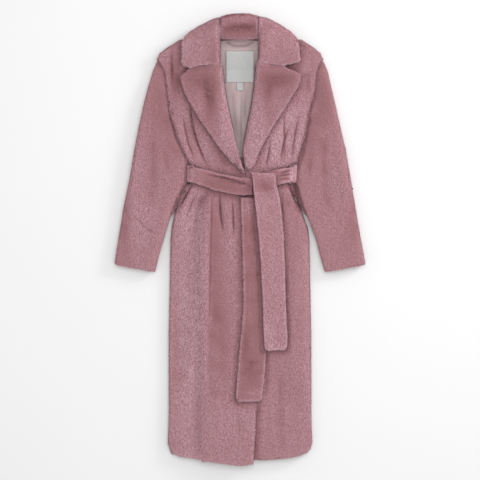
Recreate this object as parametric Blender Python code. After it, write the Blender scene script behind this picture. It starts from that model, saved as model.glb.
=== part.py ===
"""A long faux fur wrap coat with a notched collar and a tie belt, laid flat on its back with the belt tied.

Metres. The floor is z = 0, +Y points from the hem to the collar and +X to the coat's left sleeve. Right
and left are the wearer's. Every piece of cloth is one closed wall between two surfaces: the outer one is its
fur side and the inner one its lining side, each given as a height over the floor at any place (x, y). A piece
that lies on others takes its lower height from theirs, so the layers climb over each other as the cloth does.
"""

import math
from collections import namedtuple

import bmesh
import bpy
import numpy as np

# ---------------------------------------------------------------- driving sizes

FUR = 0.010  # one wall of the coat: pile, backing and lining, as it lies under its own weight
LEAF = 0.013  # collar and lapels: two layers of fur sewn face to face and turned
FALL = 0.011  # the collar's fall, pressed under the back
BELT = 0.0085
CLOTH = 0.0012  # lining and neck facing
LABEL = 0.0008
SEAM = 0.0003  # between two pieces that are sewn edge to edge
LAYER = 0.0012  # between two layers that lie on each other
BELT_LAYER = 0.0036  # between the belt and what it lies on, where the layers bend most
CREASE = 0.004  # how far the fur dips into a seam
PLUMP = 0.0045  # how far the fronts rise from the side folds to the middle
PLUMP_REACH = 0.07
REACH = 0.030  # how far out a layer starts to climb over an edge beneath it
CINCH = 0.25  # share of the wall that the belt presses flat
SLIT = 0.0035  # the flat hollow in a sleeve
SLEEVE_SEAM_TALL, SLEEVE_TALL, CUFF_TALL = 0.0215, 0.0290, 0.0270  # at its seam, below it, at the cuff
TURNED = 3  # faces round a quarter of a rolled edge
ROUND = 2  # faces round a free edge

SHOULDER = 0.487  # height of the shoulder points along the coat
UNDERARM = 0.212
BELT_MIDDLE, BELT_SPAN = 0.177, 0.042
COAT_TOP = 0.541  # where the fronts and the back end, under the collar
NECK_SEAM = 0.5405
HEM_LEVEL = -0.600  # the hem where it is straight; the last rows bend from here to its curve
LINING_TOP, LINING_FOOT = 0.511, 0.224
LINING_UNDER = 0.022  # how far the lining is taken to run under the fronts
OVER_BELT_STARTS, OVER_BELT_RAMP = 0.045, 0.022  # the back's climb over the belt, from the belt's middle
OVER_FALL_STARTS, OVER_FALL_RAMP = 0.455, 0.058  # the back's climb over the collar's fall
COLLAR_HEIGHT = 0.050  # the fur side of the collar over the floor, where the neckline is
COLLAR_BACK_RISE, COLLAR_FRONT_DROP = 0.004, 0.010  # and how it changes behind the neck and on the chest
STAND_DIP, STAND_CREST = 0.010, 0.590  # the stand sinks towards the neck seam, below its crest
TIGHT = 0.3  # share of its own thickness that each wall of a sleeve gains at the cuff, where the pile ends


def table(heading, *rows):
    """Columns of a short table by name, from a row for each place, top first."""
    return dict(zip(heading.split(), np.array(rows, float).T))


def along(columns, key, name, places):
    """The named column at these places of the key column, straight between the rows."""
    order = np.argsort(columns[key])
    return np.interp(places, columns[key][order], columns[name][order])


# Half outlines: y along the coat, and x of the wearer's right and left sides.
SIDES = table(
    "y right left",
    (0.560, -0.140, 0.138),
    (0.536, -0.170, 0.1745),
    (0.520, -0.197, 0.200),
    (0.504, -0.217, 0.218),
    (SHOULDER, -0.2235, 0.2240),
    (0.460, -0.2060, 0.2090),
    (0.402, -0.1980, 0.2040),
    (0.344, -0.1900, 0.1870),
    (0.275, -0.1710, 0.1770),
    (UNDERARM, -0.1410, 0.1620),
    (0.202, -0.1325, 0.1440),
    (0.198, -0.1280, 0.1380),
    (0.156, -0.1280, 0.1380),
    (0.145, -0.1430, 0.1450),
    (0.112, -0.1630, 0.1560),
    (0.069, -0.1790, 0.1715),
    (0.034, -0.1860, 0.1850),
    (0.001, -0.1890, 0.1890),
    (-0.258, -0.1940, 0.1940),
    (-0.485, -0.1940, 0.1945),
    (-0.549, -0.1970, 0.1970),
    (-0.600, -0.1890, 0.1910),
)
# The neckline's roll lines, then the front edges below the belt.
ROLLS = table(
    "y right left",
    (0.610, -0.0515, 0.0480),
    (0.540, -0.0510, 0.0460),
    (0.512, -0.0485, 0.0415),
    (0.430, -0.0410, 0.0380),
    (0.360, -0.0310, 0.0280),
    (0.292, -0.0140, 0.0140),
    (0.240, -0.0025, 0.0045),
    (0.200, 0.0065, 0.0100),
    (0.176, 0.0150, 0.0200),
)
# The fronts' own edges stop inside the roll line, where the lapels and the collar hang over them.
EDGES = table(
    "y right left",
    (0.610, -0.0650, 0.0615),
    (0.480, -0.0645, 0.0610),
    (0.430, -0.0535, 0.0505),
    (0.360, -0.0435, 0.0405),
    (0.292, -0.0265, 0.0265),
    (0.240, -0.0145, 0.0165),
    (0.204, -0.0095, 0.0170),
    (0.190, 0.0030, 0.0120),
    (0.175, 0.0180, 0.0000),
    (0.150, 0.0215, -0.0300),
    (0.120, 0.0230, -0.0620),
    (0.090, 0.0245, -0.0800),
    (-0.439, 0.0460, -0.0800),
    (-0.600, 0.0380, -0.0800),
)
HEM = table(
    "x right left",
    (-0.200, -0.556, -0.575),
    (-0.192, -0.572, -0.580),
    (-0.166, -0.587, -0.585),
    (-0.119, -0.593, -0.590),
    (-0.082, -0.600, -0.592),
    (-0.026, -0.608, -0.594),
    (0.005, -0.6115, -0.595),
    (0.030, -0.607, -0.596),
    (0.067, -0.607, -0.597),
    (0.113, -0.607, -0.594),
    (0.159, -0.607, -0.587),
    (0.185, -0.607, -0.575),
    (0.199, -0.607, -0.556),
)
# Sleeves: x of the outer fold and of the inner fold, each by its own place along the coat.
OUTER_FOLD = table(
    "y right left",
    (SHOULDER, -0.2240, 0.2245),
    (0.471, -0.2350, 0.2370),
    (0.439, -0.2430, 0.2450),
    (0.406, -0.2540, 0.2510),
    (0.374, -0.2620, 0.2590),
    (0.325, -0.2730, 0.2700),
    (0.244, -0.2890, 0.2890),
    (0.163, -0.3020, 0.3030),
    (0.082, -0.3190, 0.3160),
    (0.001, -0.3320, 0.3300),
    (-0.067, -0.3430, 0.3430),
)
INNER_FOLD = table(
    "y right left",
    (UNDERARM, -0.1415, 0.1625),
    (0.199, -0.1410, 0.1570),
    (0.163, -0.1430, 0.1530),
    (0.145, -0.1475, 0.1525),
    (0.112, -0.1665, 0.1600),
    (0.069, -0.1825, 0.1755),
    (0.034, -0.1935, 0.1900),
    (0.001, -0.2030, 0.2025),
    (-0.031, -0.2130, 0.2105),
    (-0.063, -0.2210, 0.2190),
    (-0.090, -0.2270, 0.2270),
)
# Lapels from the gorge down: the outer edge and the roll line.
LAPEL_RIGHT = table(
    "v edge_x edge_y roll_x roll_y",
    (0.00, -0.1640, 0.4410, -0.0455, 0.4735),
    (0.14, -0.1570, 0.4070, -0.0415, 0.4330),
    (0.33, -0.1320, 0.3580, -0.0340, 0.3800),
    (0.53, -0.1030, 0.3110, -0.0225, 0.3270),
    (0.78, -0.0600, 0.2500, -0.0065, 0.2570),
    (0.93, -0.0220, 0.2040, 0.0055, 0.2050),
    (1.00, 0.0030, 0.1830, 0.0145, 0.1810),
)
LAPEL_LEFT = table(
    "v edge_x edge_y roll_x roll_y",
    (0.00, 0.1640, 0.4475, 0.0400, 0.4775),
    (0.10, 0.1690, 0.4280, 0.0385, 0.4430),
    (0.25, 0.1490, 0.3960, 0.0345, 0.4050),
    (0.42, 0.1270, 0.3600, 0.0280, 0.3620),
    (0.58, 0.1050, 0.3250, 0.0205, 0.3250),
    (0.74, 0.0830, 0.2890, 0.0130, 0.2880),
    (0.88, 0.0600, 0.2480, 0.0045, 0.2400),
    (1.00, 0.0360, 0.2010, 0.0105, 0.2000),
)
# The top edges of the lapels, where the gorge seam runs before the notch opens.
GORGE_RIGHT = table(
    "x y", (-0.1640, 0.4410), (-0.143, 0.457), (-0.119, 0.467), (-0.095, 0.471), (-0.0455, 0.4735)
)
GORGE_LEFT = table(
    "x y", (0.0400, 0.4775), (0.083, 0.474), (0.116, 0.467), (0.138, 0.460), (0.155, 0.454), (0.164, 0.4475)
)
# The collar's leaves across the coat: y of the lower edge and of the upper one.
COLLAR_RIGHT = table(
    "x low high",
    (-0.1590, 0.4790, 0.5270),
    (-0.1545, 0.4670, 0.5440),
    (-0.1430, 0.4580, 0.5590),
    (-0.1190, 0.4680, 0.5735),
    (-0.0950, 0.4720, 0.5855),
    (-0.0515, 0.4741, 0.6085),
)
COLLAR_LEFT = table(
    "x low high",
    (0.0480, 0.4777, 0.6110),
    (0.0830, 0.4750, 0.5950),
    (0.1160, 0.4680, 0.5770),
    (0.1300, 0.4690, 0.5690),
    (0.1440, 0.4730, 0.5580),
    (0.1560, 0.4760, 0.5420),
    (0.1620, 0.4840, 0.5180),
)
STAND = table("x low high", (-0.0500, NECK_SEAM, 0.6090), (0, 0.5385, 0.6115), (0.0465, NECK_SEAM, 0.6110))
FALL_OUTLINE = table(
    "x low high",
    (-0.1380, 0.5300, 0.5600),
    (-0.1190, 0.5250, 0.5735),
    (-0.0950, 0.5210, 0.5855),
    (-0.0515, 0.5180, 0.6085),
    (0.0, 0.5160, 0.6115),
    (0.0480, 0.5180, 0.6110),
    (0.0830, 0.5210, 0.5950),
    (0.1160, 0.5250, 0.5770),
    (0.1380, 0.5300, 0.5630),
)
BELT_RIGHT = table(
    "x low high",
    (-0.1385, 0.1570, 0.1980),
    (-0.1160, 0.1480, 0.1975),
    (-0.0860, 0.1380, 0.1900),
    (-0.0620, 0.1290, 0.1820),
    (-0.0200, 0.1200, 0.1725),
    (0.0100, 0.1170, 0.1690),
    (0.0340, 0.1190, 0.1700),
)
BELT_LEFT = table(
    "x low high",
    (0.0345, 0.1190, 0.1705),
    (0.0650, 0.1330, 0.1850),
    (0.1110, 0.1480, 0.1950),
    (0.1490, 0.1560, 0.2000),
)
TAIL_FRONT = table(
    "y left right",
    (0.1830, 0.0290, 0.0950),
    (0.1340, 0.0340, 0.1030),
    (0.1070, 0.0370, 0.1110),
    (0.0240, 0.0460, 0.1190),
    (-0.0580, 0.0530, 0.1230),
    (-0.1880, 0.0590, 0.1255),
    (-0.2520, 0.0600, 0.1310),
    (-0.2980, 0.0640, 0.1280),
)
TAIL_BACK = table(
    "y left right",
    (0.1150, -0.0010, 0.0590),
    (0.0240, 0.0030, 0.0620),
    (-0.0580, 0.0050, 0.0660),
    (-0.1850, 0.0080, 0.0700),
    (-0.2850, -0.0020, 0.0725),
    (-0.3510, -0.0080, 0.0690),
    (-0.4350, -0.0130, 0.0600),
)
# The largest folds: from one end to the other, how wide, and how far the fur rises or sinks.
FOLDS = table(
    "x0 y0 x1 y1 width rise",
    (-0.103, 0.132, -0.136, 0.020, 0.013, -0.0050),
    (-0.136, 0.020, -0.170, -0.330, 0.014, -0.0055),
    (-0.118, 0.100, -0.148, -0.080, 0.016, 0.0040),
    (-0.083, 0.105, -0.084, -0.380, 0.016, 0.0035),
    (-0.054, 0.110, -0.042, -0.030, 0.010, -0.0045),
    (-0.130, 0.350, -0.092, 0.212, 0.012, -0.0045),
    (-0.186, 0.500, -0.186, 0.420, 0.010, -0.0035),
    (0.150, 0.370, 0.116, 0.222, 0.013, -0.0045),
    (0.183, 0.470, 0.180, 0.390, 0.011, -0.0035),
    (0.138, 0.128, 0.160, 0.070, 0.011, -0.0045),
    (0.150, 0.010, 0.146, -0.420, 0.018, 0.0035),
    (0.010, 0.060, 0.016, -0.300, 0.014, 0.0030),
)

# Where the body's rows of points lie along the coat, closest at the armholes' ends and at the belt.
ROWS = (
    0.520, 0.504, SHOULDER, 0.460, 0.431, 0.402, 0.373, 0.344, 0.310, 0.275, 0.243, 0.228, UNDERARM,
    0.202, 0.198, 0.186, 0.166, 0.156, 0.145, 0.129, 0.112, 0.090, 0.069, 0.034, 0.001,
    -0.045, -0.095, -0.150, -0.205, -0.258, -0.315, -0.375, -0.439, -0.495, -0.549,
)  # fmt: skip

# ---------------------------------------------------------------- heights over the floor


def smooth(t):
    """0 below 0, 1 above 1, and an even S between."""
    t = np.clip(t, 0, 1)
    return t * t * (3 - 2 * t)


def bell(t):
    return np.exp(-np.square(t))


def pile(y):
    """The wall's thickness, pressed flatter along the belt."""
    return FUR * (1 - CINCH * bell((y - BELT_MIDDLE) / BELT_SPAN))


def lift(y):
    """How far the back lies off the floor, over the belt behind it and over the collar's fall."""
    on_belt = smooth((OVER_BELT_STARTS - np.abs(y - BELT_MIDDLE)) / OVER_BELT_RAMP)
    on_fall = smooth((y - OVER_FALL_STARTS) / OVER_FALL_RAMP)
    return (BELT + LAYER) * on_belt + (FALL + LAYER) * on_fall


def edge(side, y):
    return along(EDGES, "y", side, y)


def side_x(side, y):
    return along(SIDES, "y", side, y)


def over_front_left(x, y):
    """1 over the left front, falling to 0 a little way outside its edge."""
    return smooth((x - edge("left", y) + LEAF) / REACH + 1)


def over_front_right(x, y):
    return smooth((edge("right", y) - x) / REACH + 1)


def over_lining(x, y):
    """1 over the lining, which runs a little way under both fronts."""
    right, left = along(ROLLS, "y", "right", y), along(ROLLS, "y", "left", y)
    from_right = smooth((x - right + LINING_UNDER) / REACH + 1)
    from_left = smooth((left + LINING_UNDER - x) / REACH + 1)
    return from_right * from_left * smooth((y - LINING_FOOT) / REACH + 1)


def folds(x, y):
    """The rise of the fur over the largest folds, which fade at both ends and at the side folds."""
    total = np.zeros(np.broadcast(x, y).shape)
    for x0, y0, x1, y1, width, rise in zip(*FOLDS.values()):
        dx, dy = x1 - x0, y1 - y0
        length = math.hypot(dx, dy)
        share = ((x - x0) * dx + (y - y0) * dy) / length**2
        off = ((x - x0) * dy - (y - y0) * dx) / length
        ends = smooth(share * length / 0.03 + 0.5) * smooth((1 - share) * length / 0.05 + 0.5)
        total = total + rise * bell(off / width) * ends
    sides = smooth((x - side_x("right", y)) / 0.03) * smooth((side_x("left", y) - x) / 0.03)
    return total * sides


def plump(x, y):
    """The fronts' rise from the side folds to the middle, less under the belt."""
    inwards = np.minimum(x - side_x("right", y), side_x("left", y) - x)
    waist = 1 - 0.8 * bell((y - BELT_MIDDLE) / (1.5 * BELT_SPAN))
    return PLUMP * smooth(inwards / PLUMP_REACH) * waist


def lining_low(x, y):
    return lift(y) + pile(y) + LAYER


def front_low(x, y):
    """The underside of a front where it lies on the back or on the lining."""
    under = lift(y) + pile(y) + LAYER + over_lining(x, y) * (CLOTH + LAYER)
    return under + 0.5 * plump(x, y)


def front_left_top(x, y):
    shown = 1 - over_front_right(x, y)
    return front_low(x, y) + pile(y) + 0.5 * plump(x, y) + folds(x, y) * shown


def front_right_low(x, y):
    """The right front climbs over the left one where they wrap."""
    return front_low(x, y) + over_front_left(x, y) * (pile(y) + LAYER + 0.5 * plump(x, y))


def front_right_top(x, y):
    return front_right_low(x, y) + pile(y) + 0.5 * plump(x, y) + folds(x, y)


def front_top(x, y):
    """The upper surface of both fronts together, as what lies on them meets it."""
    on_top = over_front_right(x, y)
    return on_top * front_right_top(x, y) + (1 - on_top) * front_left_top(x, y)


def collar_top(x, y):
    """The fur side of the collar, which stands higher at the back of the neck."""
    behind, chest = smooth((y - 0.53) / 0.06), smooth((0.50 - y) / 0.06)
    return COLLAR_HEIGHT + COLLAR_BACK_RISE * behind - COLLAR_FRONT_DROP * chest


def stand_top(x, y):
    """The inner face of the collar behind the neck, highest where the collar turns over."""
    return collar_top(x, y) - STAND_DIP * smooth((STAND_CREST - y) / 0.045)


def sleeve_tall(v):
    """A sleeve's height: the body's at the armhole, plumper below, a little flatter at the cuff."""
    tall = SLEEVE_SEAM_TALL + (SLEEVE_TALL - SLEEVE_SEAM_TALL) * smooth(v / 0.3)
    return tall + (CUFF_TALL - SLEEVE_TALL) * smooth((v - 0.8) / 0.2)


# ---------------------------------------------------------------- walls

End = namedtuple("End", "reach outer inner inset")
# reach: how far in from the edge the rounding starts. outer, inner: how far each surface moves towards the
# other side of the wall at the very edge. inset: how far in the inner surface stops.


def rim(thick):
    """A rounded free edge."""
    return End(0.6 * thick, 0.40 * thick, -0.40 * thick, 0)


def butt(thick, crease=0.0):
    """A sewn edge that meets its neighbour face to face."""
    return End(1.2 * thick, crease, 0, 0)


def rolled(radius, thick):
    """An edge that rolls over by a quarter turn, to meet the layer beneath at half height."""
    return End(max(radius, 1.05 * thick), radius, radius - thick, thick)


HANG = End(LEAF, 0.0215, 0.0085, 0.0085)  # hangs down over the front's own edge, into the V of the neck


def mix(first, second, share):
    """Share of the first kind of end, and the rest of the second."""
    return End(*(share * a + (1 - share) * b for a, b in zip(first, second)))


def profile(length, start, finish, between, faces):
    """Distances along a section for both surfaces, what the ends take off each, and how near an end each is.

    faces is how many faces round off each of the two ends.
    """
    middle = start.reach + (length - start.reach - finish.reach) * np.asarray(between)
    out, inn, near, drop_out, drop_in = [middle], [middle], [0 * middle], [0 * middle], [0 * middle]
    for end, count, last in ((start, faces[0], False), (finish, faces[1], True)):
        angle = np.linspace(0, math.pi / 2, count + 1)
        run, shape = 1 - np.cos(angle), 1 - np.sin(angle)
        outer_run, inner_run = end.reach * run, end.inset + (end.reach - end.inset) * run
        if last:
            outer_run, inner_run, shape = length - outer_run[::-1], length - inner_run[::-1], shape[::-1]
        added = (outer_run, inner_run, shape, end.outer * shape, end.inner * shape)
        for values, more in zip((out, inn, near, drop_out, drop_in), added):
            values.insert(len(values) if last else 0, more)
    return tuple(np.concatenate(values) for values in (out, inn, drop_out, drop_in, near))


def even(count):
    return np.linspace(0, 1, count + 2)[1:-1]


def body_rows(high, low, first=0.0, last=0.0):
    """The body's own rows between two heights, as shares of the way down between two rounded ends."""
    return [(high - first - y) / (high - low - first - last) for y in ROWS if low + last < y < high - first]


def fur_material(name, colour, roughness=0.9):
    material = bpy.data.materials.new(name)
    material.use_nodes = True
    shader = material.node_tree.nodes["Principled BSDF"]
    shader.inputs["Base Color"].default_value = (*colour, 1)
    shader.inputs["Roughness"].default_value = roughness
    shader.inputs["Metallic"].default_value = 0
    return material


def add_object(name, data, material):
    data.materials.append(material)
    piece = bpy.data.objects.new(name, data)
    collection.objects.link(piece)
    return piece


def wall(name, outer, inner, material, closed=False):
    """One closed body between two grids of points, rows by columns. A closed grid joins round on itself."""
    outer, inner = np.asarray(outer), np.asarray(inner)
    rows, columns = outer.shape[:2]
    mesh = bmesh.new()
    grids = [[[mesh.verts.new(p) for p in row] for row in grid] for grid in (outer, inner)]
    steps = columns if closed else columns - 1
    for i in range(rows - 1):
        for j in range(steps):
            k = (j + 1) % columns
            for grid in grids:
                mesh.faces.new([grid[i][j], grid[i + 1][j], grid[i + 1][k], grid[i][k]])
    for i in (0, rows - 1):
        for j in range(steps):
            k = (j + 1) % columns
            mesh.faces.new([grids[0][i][j], grids[0][i][k], grids[1][i][k], grids[1][i][j]])
    if not closed:
        for j in (0, columns - 1):
            for i in range(rows - 1):
                mesh.faces.new([grids[0][i][j], grids[0][i + 1][j], grids[1][i + 1][j], grids[1][i][j]])
    bmesh.ops.recalc_face_normals(mesh, faces=mesh.faces)
    data = bpy.data.meshes.new(name)
    mesh.to_mesh(data)
    mesh.free()
    data.shade_smooth()
    return add_object(name, data, material)


def cloth(
    name,
    plan,
    outer,
    inner,
    across,
    down,
    first,
    last,
    start,
    finish,
    material,
    face=1,
    sides=(ROUND, ROUND),
    v_faces=(1, ROUND),
):
    """A wall laid out by plan(v, u), which gives x and y. v runs down the piece from 0 to 1 and u across it.

    outer and inner give heights at (x, y); face is 1 where the fur looks up and -1 where it looks down.
    first and last are the ends of v, and start(v) and finish(v) those of u, which win at the corners. across
    and down are where the points between the ends lie, from 0 to 1. sides and v_faces count the faces round
    the ends of u and of v.
    """
    middle = [np.array(plan(v, np.array([0.5]))).ravel() for v in (0.0, 1.0)]
    run = float(np.hypot(*(middle[1] - middle[0])))
    v_out, v_in, drop_v_out, drop_v_in, _ = profile(run, first, last, down, v_faces)
    rows_out, rows_in = [], []
    for i in range(len(v_out)):
        place = min(max(v_out[i] / run, 0), 1)
        ends = np.array(plan(place, np.array([0.0, 1.0])))
        length = float(np.hypot(*(ends[:, 1] - ends[:, 0])))
        s_out, s_in, drop_out, drop_in, near = profile(length, start(place), finish(place), across, sides)
        drop_out = drop_out + drop_v_out[i] * (1 - near)
        drop_in = drop_in + drop_v_in[i] * (1 - near)
        x, y = plan(place, s_out / length)
        rows_out.append(np.stack([x, y, outer(x, y) - face * drop_out], axis=1))
        x, y = plan(v_in[i] / run, s_in / length)
        rows_in.append(np.stack([x, y, inner(x, y) - face * drop_in], axis=1))
    return wall(name, rows_out, rows_in, material)


# ---------------------------------------------------------------- body


def hem_plan(side, start_x, finish_x):
    """Rows straight across the coat down to the last row, then bending into the hem's curve."""
    foot = ROWS[-1]

    def plan(v, u):
        level = level_of(v)
        x = start_x(level) * (1 - u) + finish_x(level) * u
        share = max(foot - level, 0) / (foot - HEM_LEVEL)
        return x, max(level, foot) + (along(HEM, "x", side, x) - foot) * share

    return plan


def level_of(v):
    return COAT_TOP + (HEM_LEVEL - COAT_TOP) * v


def roll_share(y):
    """1 where the panel rolls over at its side, 0 where the sleeve is sewn to it."""
    return float(smooth((y - 0.478) / 0.020) + smooth((0.222 - y) / 0.016))


def side_end(side, face):
    """The end of a body panel at the shoulder, at the armhole and down the side."""
    top = front_right_top if side == "right" else front_left_top

    def end(v):
        y = level_of(v)
        x = side_x(side, y)
        radius = float(top(x, y) - lift(y) - SEAM) / 2
        thick = float(pile(y))
        crease = CREASE if face > 0 else 0.0
        return mix(rolled(radius, thick), butt(thick, crease), min(roll_share(y), 1.0))

    return end


def free_end(v):
    return rim(float(pile(level_of(v))))


def seam_side(side):
    """The side of the body, moved in by half a seam."""
    inwards = 1 if side == "right" else -1
    return lambda y: side_x(side, y) + inwards * SEAM


def make_body():
    first, last = butt(FUR), rim(FUR)
    rows = body_rows(COAT_TOP, HEM_LEVEL, first.reach, last.reach)
    panel = dict(down=rows, first=first, last=last)
    cloth(
        "back",
        hem_plan_back,
        lambda x, y: lift(y) + 0 * x,
        lambda x, y: lift(y) + pile(y) + 0 * x,
        across=even(6),
        sides=(TURNED, TURNED),
        start=side_end("right", -1),
        finish=side_end("left", -1),
        material=rose,
        face=-1,
        **panel,
    )
    cloth(
        "front_right",
        hem_plan("right", seam_side("right"), lambda y: edge("right", y)),
        front_right_top,
        front_right_low,
        across=even(14),
        sides=(TURNED, ROUND),
        start=side_end("right", 1),
        finish=free_end,
        material=rose,
        **panel,
    )
    cloth(
        "front_left",
        hem_plan("left", lambda y: edge("left", y), seam_side("left")),
        front_left_top,
        front_low,
        across=even(15),
        sides=(ROUND, TURNED),
        start=free_end,
        finish=side_end("left", 1),
        material=rose,
        **panel,
    )


def hem_plan_back(v, u):
    """The back's hem lies under the fronts' and a little short of them."""
    return hem_plan("left", seam_side("right"), seam_side("left"))(v, u)


# ---------------------------------------------------------------- sleeves


def make_sleeve(name, side):
    """A flattened tube. Its first ring follows the armhole, and the rings fan round to the straight cuff."""
    cuff = -0.067, -0.090
    bends = SIDES["y"][(SIDES["y"] < SHOULDER) & (SIDES["y"] > UNDERARM)]
    turns = (SHOULDER - bends) / (SHOULDER - UNDERARM)

    def folds_at(v):
        outer_y = SHOULDER + (cuff[0] - SHOULDER) * v**1.4
        inner_y = UNDERARM + (cuff[1] - UNDERARM) * v**1.45
        outer = along(OUTER_FOLD, "y", side, outer_y), outer_y
        inner = along(INNER_FOLD, "y", side, inner_y), inner_y
        return np.array(outer), np.array(inner)

    def plan(v, u):
        outer, inner = folds_at(v)
        x = outer[0] + (inner[0] - outer[0]) * u
        y = outer[1] + (inner[1] - outer[1]) * u
        first, last = folds_at(0.0)
        chord = first[0] + (last[0] - first[0]) * u
        armhole = side_x(side, first[1] + (last[1] - first[1]) * u)
        return x + (armhole - chord) * (1 - v) ** 3, y

    stations = np.concatenate([[0, 0.012, 0.05], np.linspace(0.12, 0.90, 8), [0.985, 1]])
    squeeze = np.interp(stations, [0, 0.985, 1], [0, 0, 1])
    dips = np.interp(stations, [0, 0.05], [CREASE, 0])
    rings_out, rings_in = [], []
    for v, tight, dip in zip(stations, squeeze, dips):
        tall = float(sleeve_tall(v))
        thick = (tall - min(SLIT, 0.25 * tall)) / 2
        ends = np.array(plan(v, np.array([0.0, 1.0])))
        length = float(np.hypot(*(ends[:, 1] - ends[:, 0])))
        end = rolled(tall / 2, thick)
        across = (turns * length - end.reach) / (length - 2 * end.reach)
        across = np.maximum(across, 0.04)  # where the sleeve is narrow, no column falls back into the rolled end
        s_out, s_in, drop_out, drop_in, near = profile(length, end, end, across, (TURNED, TURNED))
        flat = 1 - near
        x, y = plan(v, s_out / length)
        upper = tall - drop_out - (TIGHT * thick * tight + dip) * flat
        lower = drop_out + TIGHT * thick * tight * flat
        top = np.stack([x, y, upper], axis=1)
        foot = np.stack([x, y, lower], axis=1)
        rings_out.append(np.concatenate([top, foot[-2:0:-1]]))
        x, y = plan(v, s_in / length)
        top = np.stack([x, y, tall - thick - drop_in + TIGHT * thick * tight * flat], axis=1)
        foot = np.stack([x, y, thick + drop_in - TIGHT * thick * tight * flat], axis=1)
        rings_in.append(np.concatenate([top, foot[-2:0:-1]]))
    wall(name, rings_out, rings_in, rose, closed=True)


# ---------------------------------------------------------------- collar and lapels


def make_lapel(name, lines, gorge, top):
    """The facing turned out over the front. Its roll line hangs down over the front's own edge."""

    def line(v, end):
        return np.array([along(lines, "v", f"{end}_x", v), along(lines, "v", f"{end}_y", v)])

    def plan(v, u):
        edge_at, roll_at = line(v, "edge"), line(v, "roll")
        x = edge_at[0] + (roll_at[0] - edge_at[0]) * u
        y = edge_at[1] + (roll_at[1] - edge_at[1]) * u
        first_edge, first_roll = line(0.0, "edge"), line(0.0, "roll")
        first_x = first_edge[0] + (first_roll[0] - first_edge[0]) * u
        first_y = first_edge[1] + (first_roll[1] - first_edge[1]) * u
        return x, y + (along(gorge, "x", "y", first_x) - first_y) * (1 - v) ** 6

    def roll_end(v):
        hang = 1 - float(smooth((v - 0.78) / 0.10))
        return mix(HANG, rim(LEAF), hang)

    cloth(
        name,
        plan,
        lambda x, y: top(x, y) + 2 * LAYER + LEAF,
        lambda x, y: top(x, y) + 2 * LAYER,
        across=even(5),
        down=(0.13, 0.27, 0.40, 0.52, 0.63, 0.73, 0.81, 0.88, 0.94),
        sides=(ROUND, TURNED),
        first=butt(LEAF, CREASE / 2),
        last=rim(LEAF),
        start=lambda v: rim(LEAF),
        finish=roll_end,
        material=rose,
    )


def across_coat(columns):
    """A plan whose v runs across the coat and whose u runs up from the low edge to the high one."""
    low_x, high_x = columns["x"].min(), columns["x"].max()

    def plan(v, u):
        x = low_x + (high_x - low_x) * v
        low, high = along(columns, "x", "low", x), along(columns, "x", "high", x)
        return np.full(np.shape(u), x), low + (high - low) * u

    return plan


def crown_end(columns, thick):
    """The collar's top edge, which rolls over to meet the fall, and lies free on the fronts beyond it."""
    low_x, high_x = columns["x"].min(), columns["x"].max()

    def end(v):
        x = low_x + (high_x - low_x) * v
        apart = SEAM + (LAYER - SEAM) * smooth((abs(x) - STAND["x"].max()) / 0.03)
        radius = float(collar_top(x, along(columns, "x", "high", x)) - apart) / 2
        share = float(smooth((0.143 - abs(x)) / 0.014))
        return mix(rolled(radius, thick), rim(thick), share)

    return end


def make_collar():
    def leaf_low(x, y):
        return np.maximum(front_top(x, y) + LAYER, collar_top(x, y) - LEAF)

    for name, columns, first, last, faces in (
        ("collar_right", COLLAR_RIGHT, rim(LEAF), HANG, (ROUND, TURNED)),
        ("collar_left", COLLAR_LEFT, HANG, rim(LEAF), (TURNED, ROUND)),
    ):
        cloth(
            name,
            across_coat(columns),
            lambda x, y: leaf_low(x, y) + LEAF,
            leaf_low,
            across=even(3),
            down=even(4),
            sides=(1, TURNED),
            v_faces=faces,
            first=first,
            last=last,
            start=lambda v: butt(LEAF, CREASE / 2),
            finish=crown_end(columns, LEAF),
            material=rose,
        )
    cloth(
        "collar_stand",
        across_coat(STAND),
        stand_top,
        lambda x, y: stand_top(x, y) - LEAF,
        across=even(2),
        down=even(4),
        sides=(ROUND, TURNED),
        v_faces=(1, 1),
        first=butt(LEAF),
        last=butt(LEAF),
        start=lambda v: rim(LEAF),
        finish=crown_end(STAND, LEAF),
        material=rose,
    )
    cloth(
        "collar_fall",
        across_coat(FALL_OUTLINE),
        lambda x, y: 0 * x,
        lambda x, y: FALL + 0 * x,
        across=even(1),
        down=even(9),
        sides=(ROUND, TURNED),
        first=rim(FALL),
        last=rim(FALL),
        start=lambda v: rim(FALL),
        finish=crown_end(FALL_OUTLINE, FALL),
        material=rose,
        face=-1,
    )


# ---------------------------------------------------------------- neck


def flat_ends(thick, material):
    """What a thin flat cloth cut square on all four sides passes to cloth()."""
    cut = butt(thick)
    ends = dict(first=cut, last=cut, start=lambda v: cut, finish=lambda v: cut)
    return dict(material=material, sides=(1, 1), v_faces=(1, 1), **ends)


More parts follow.
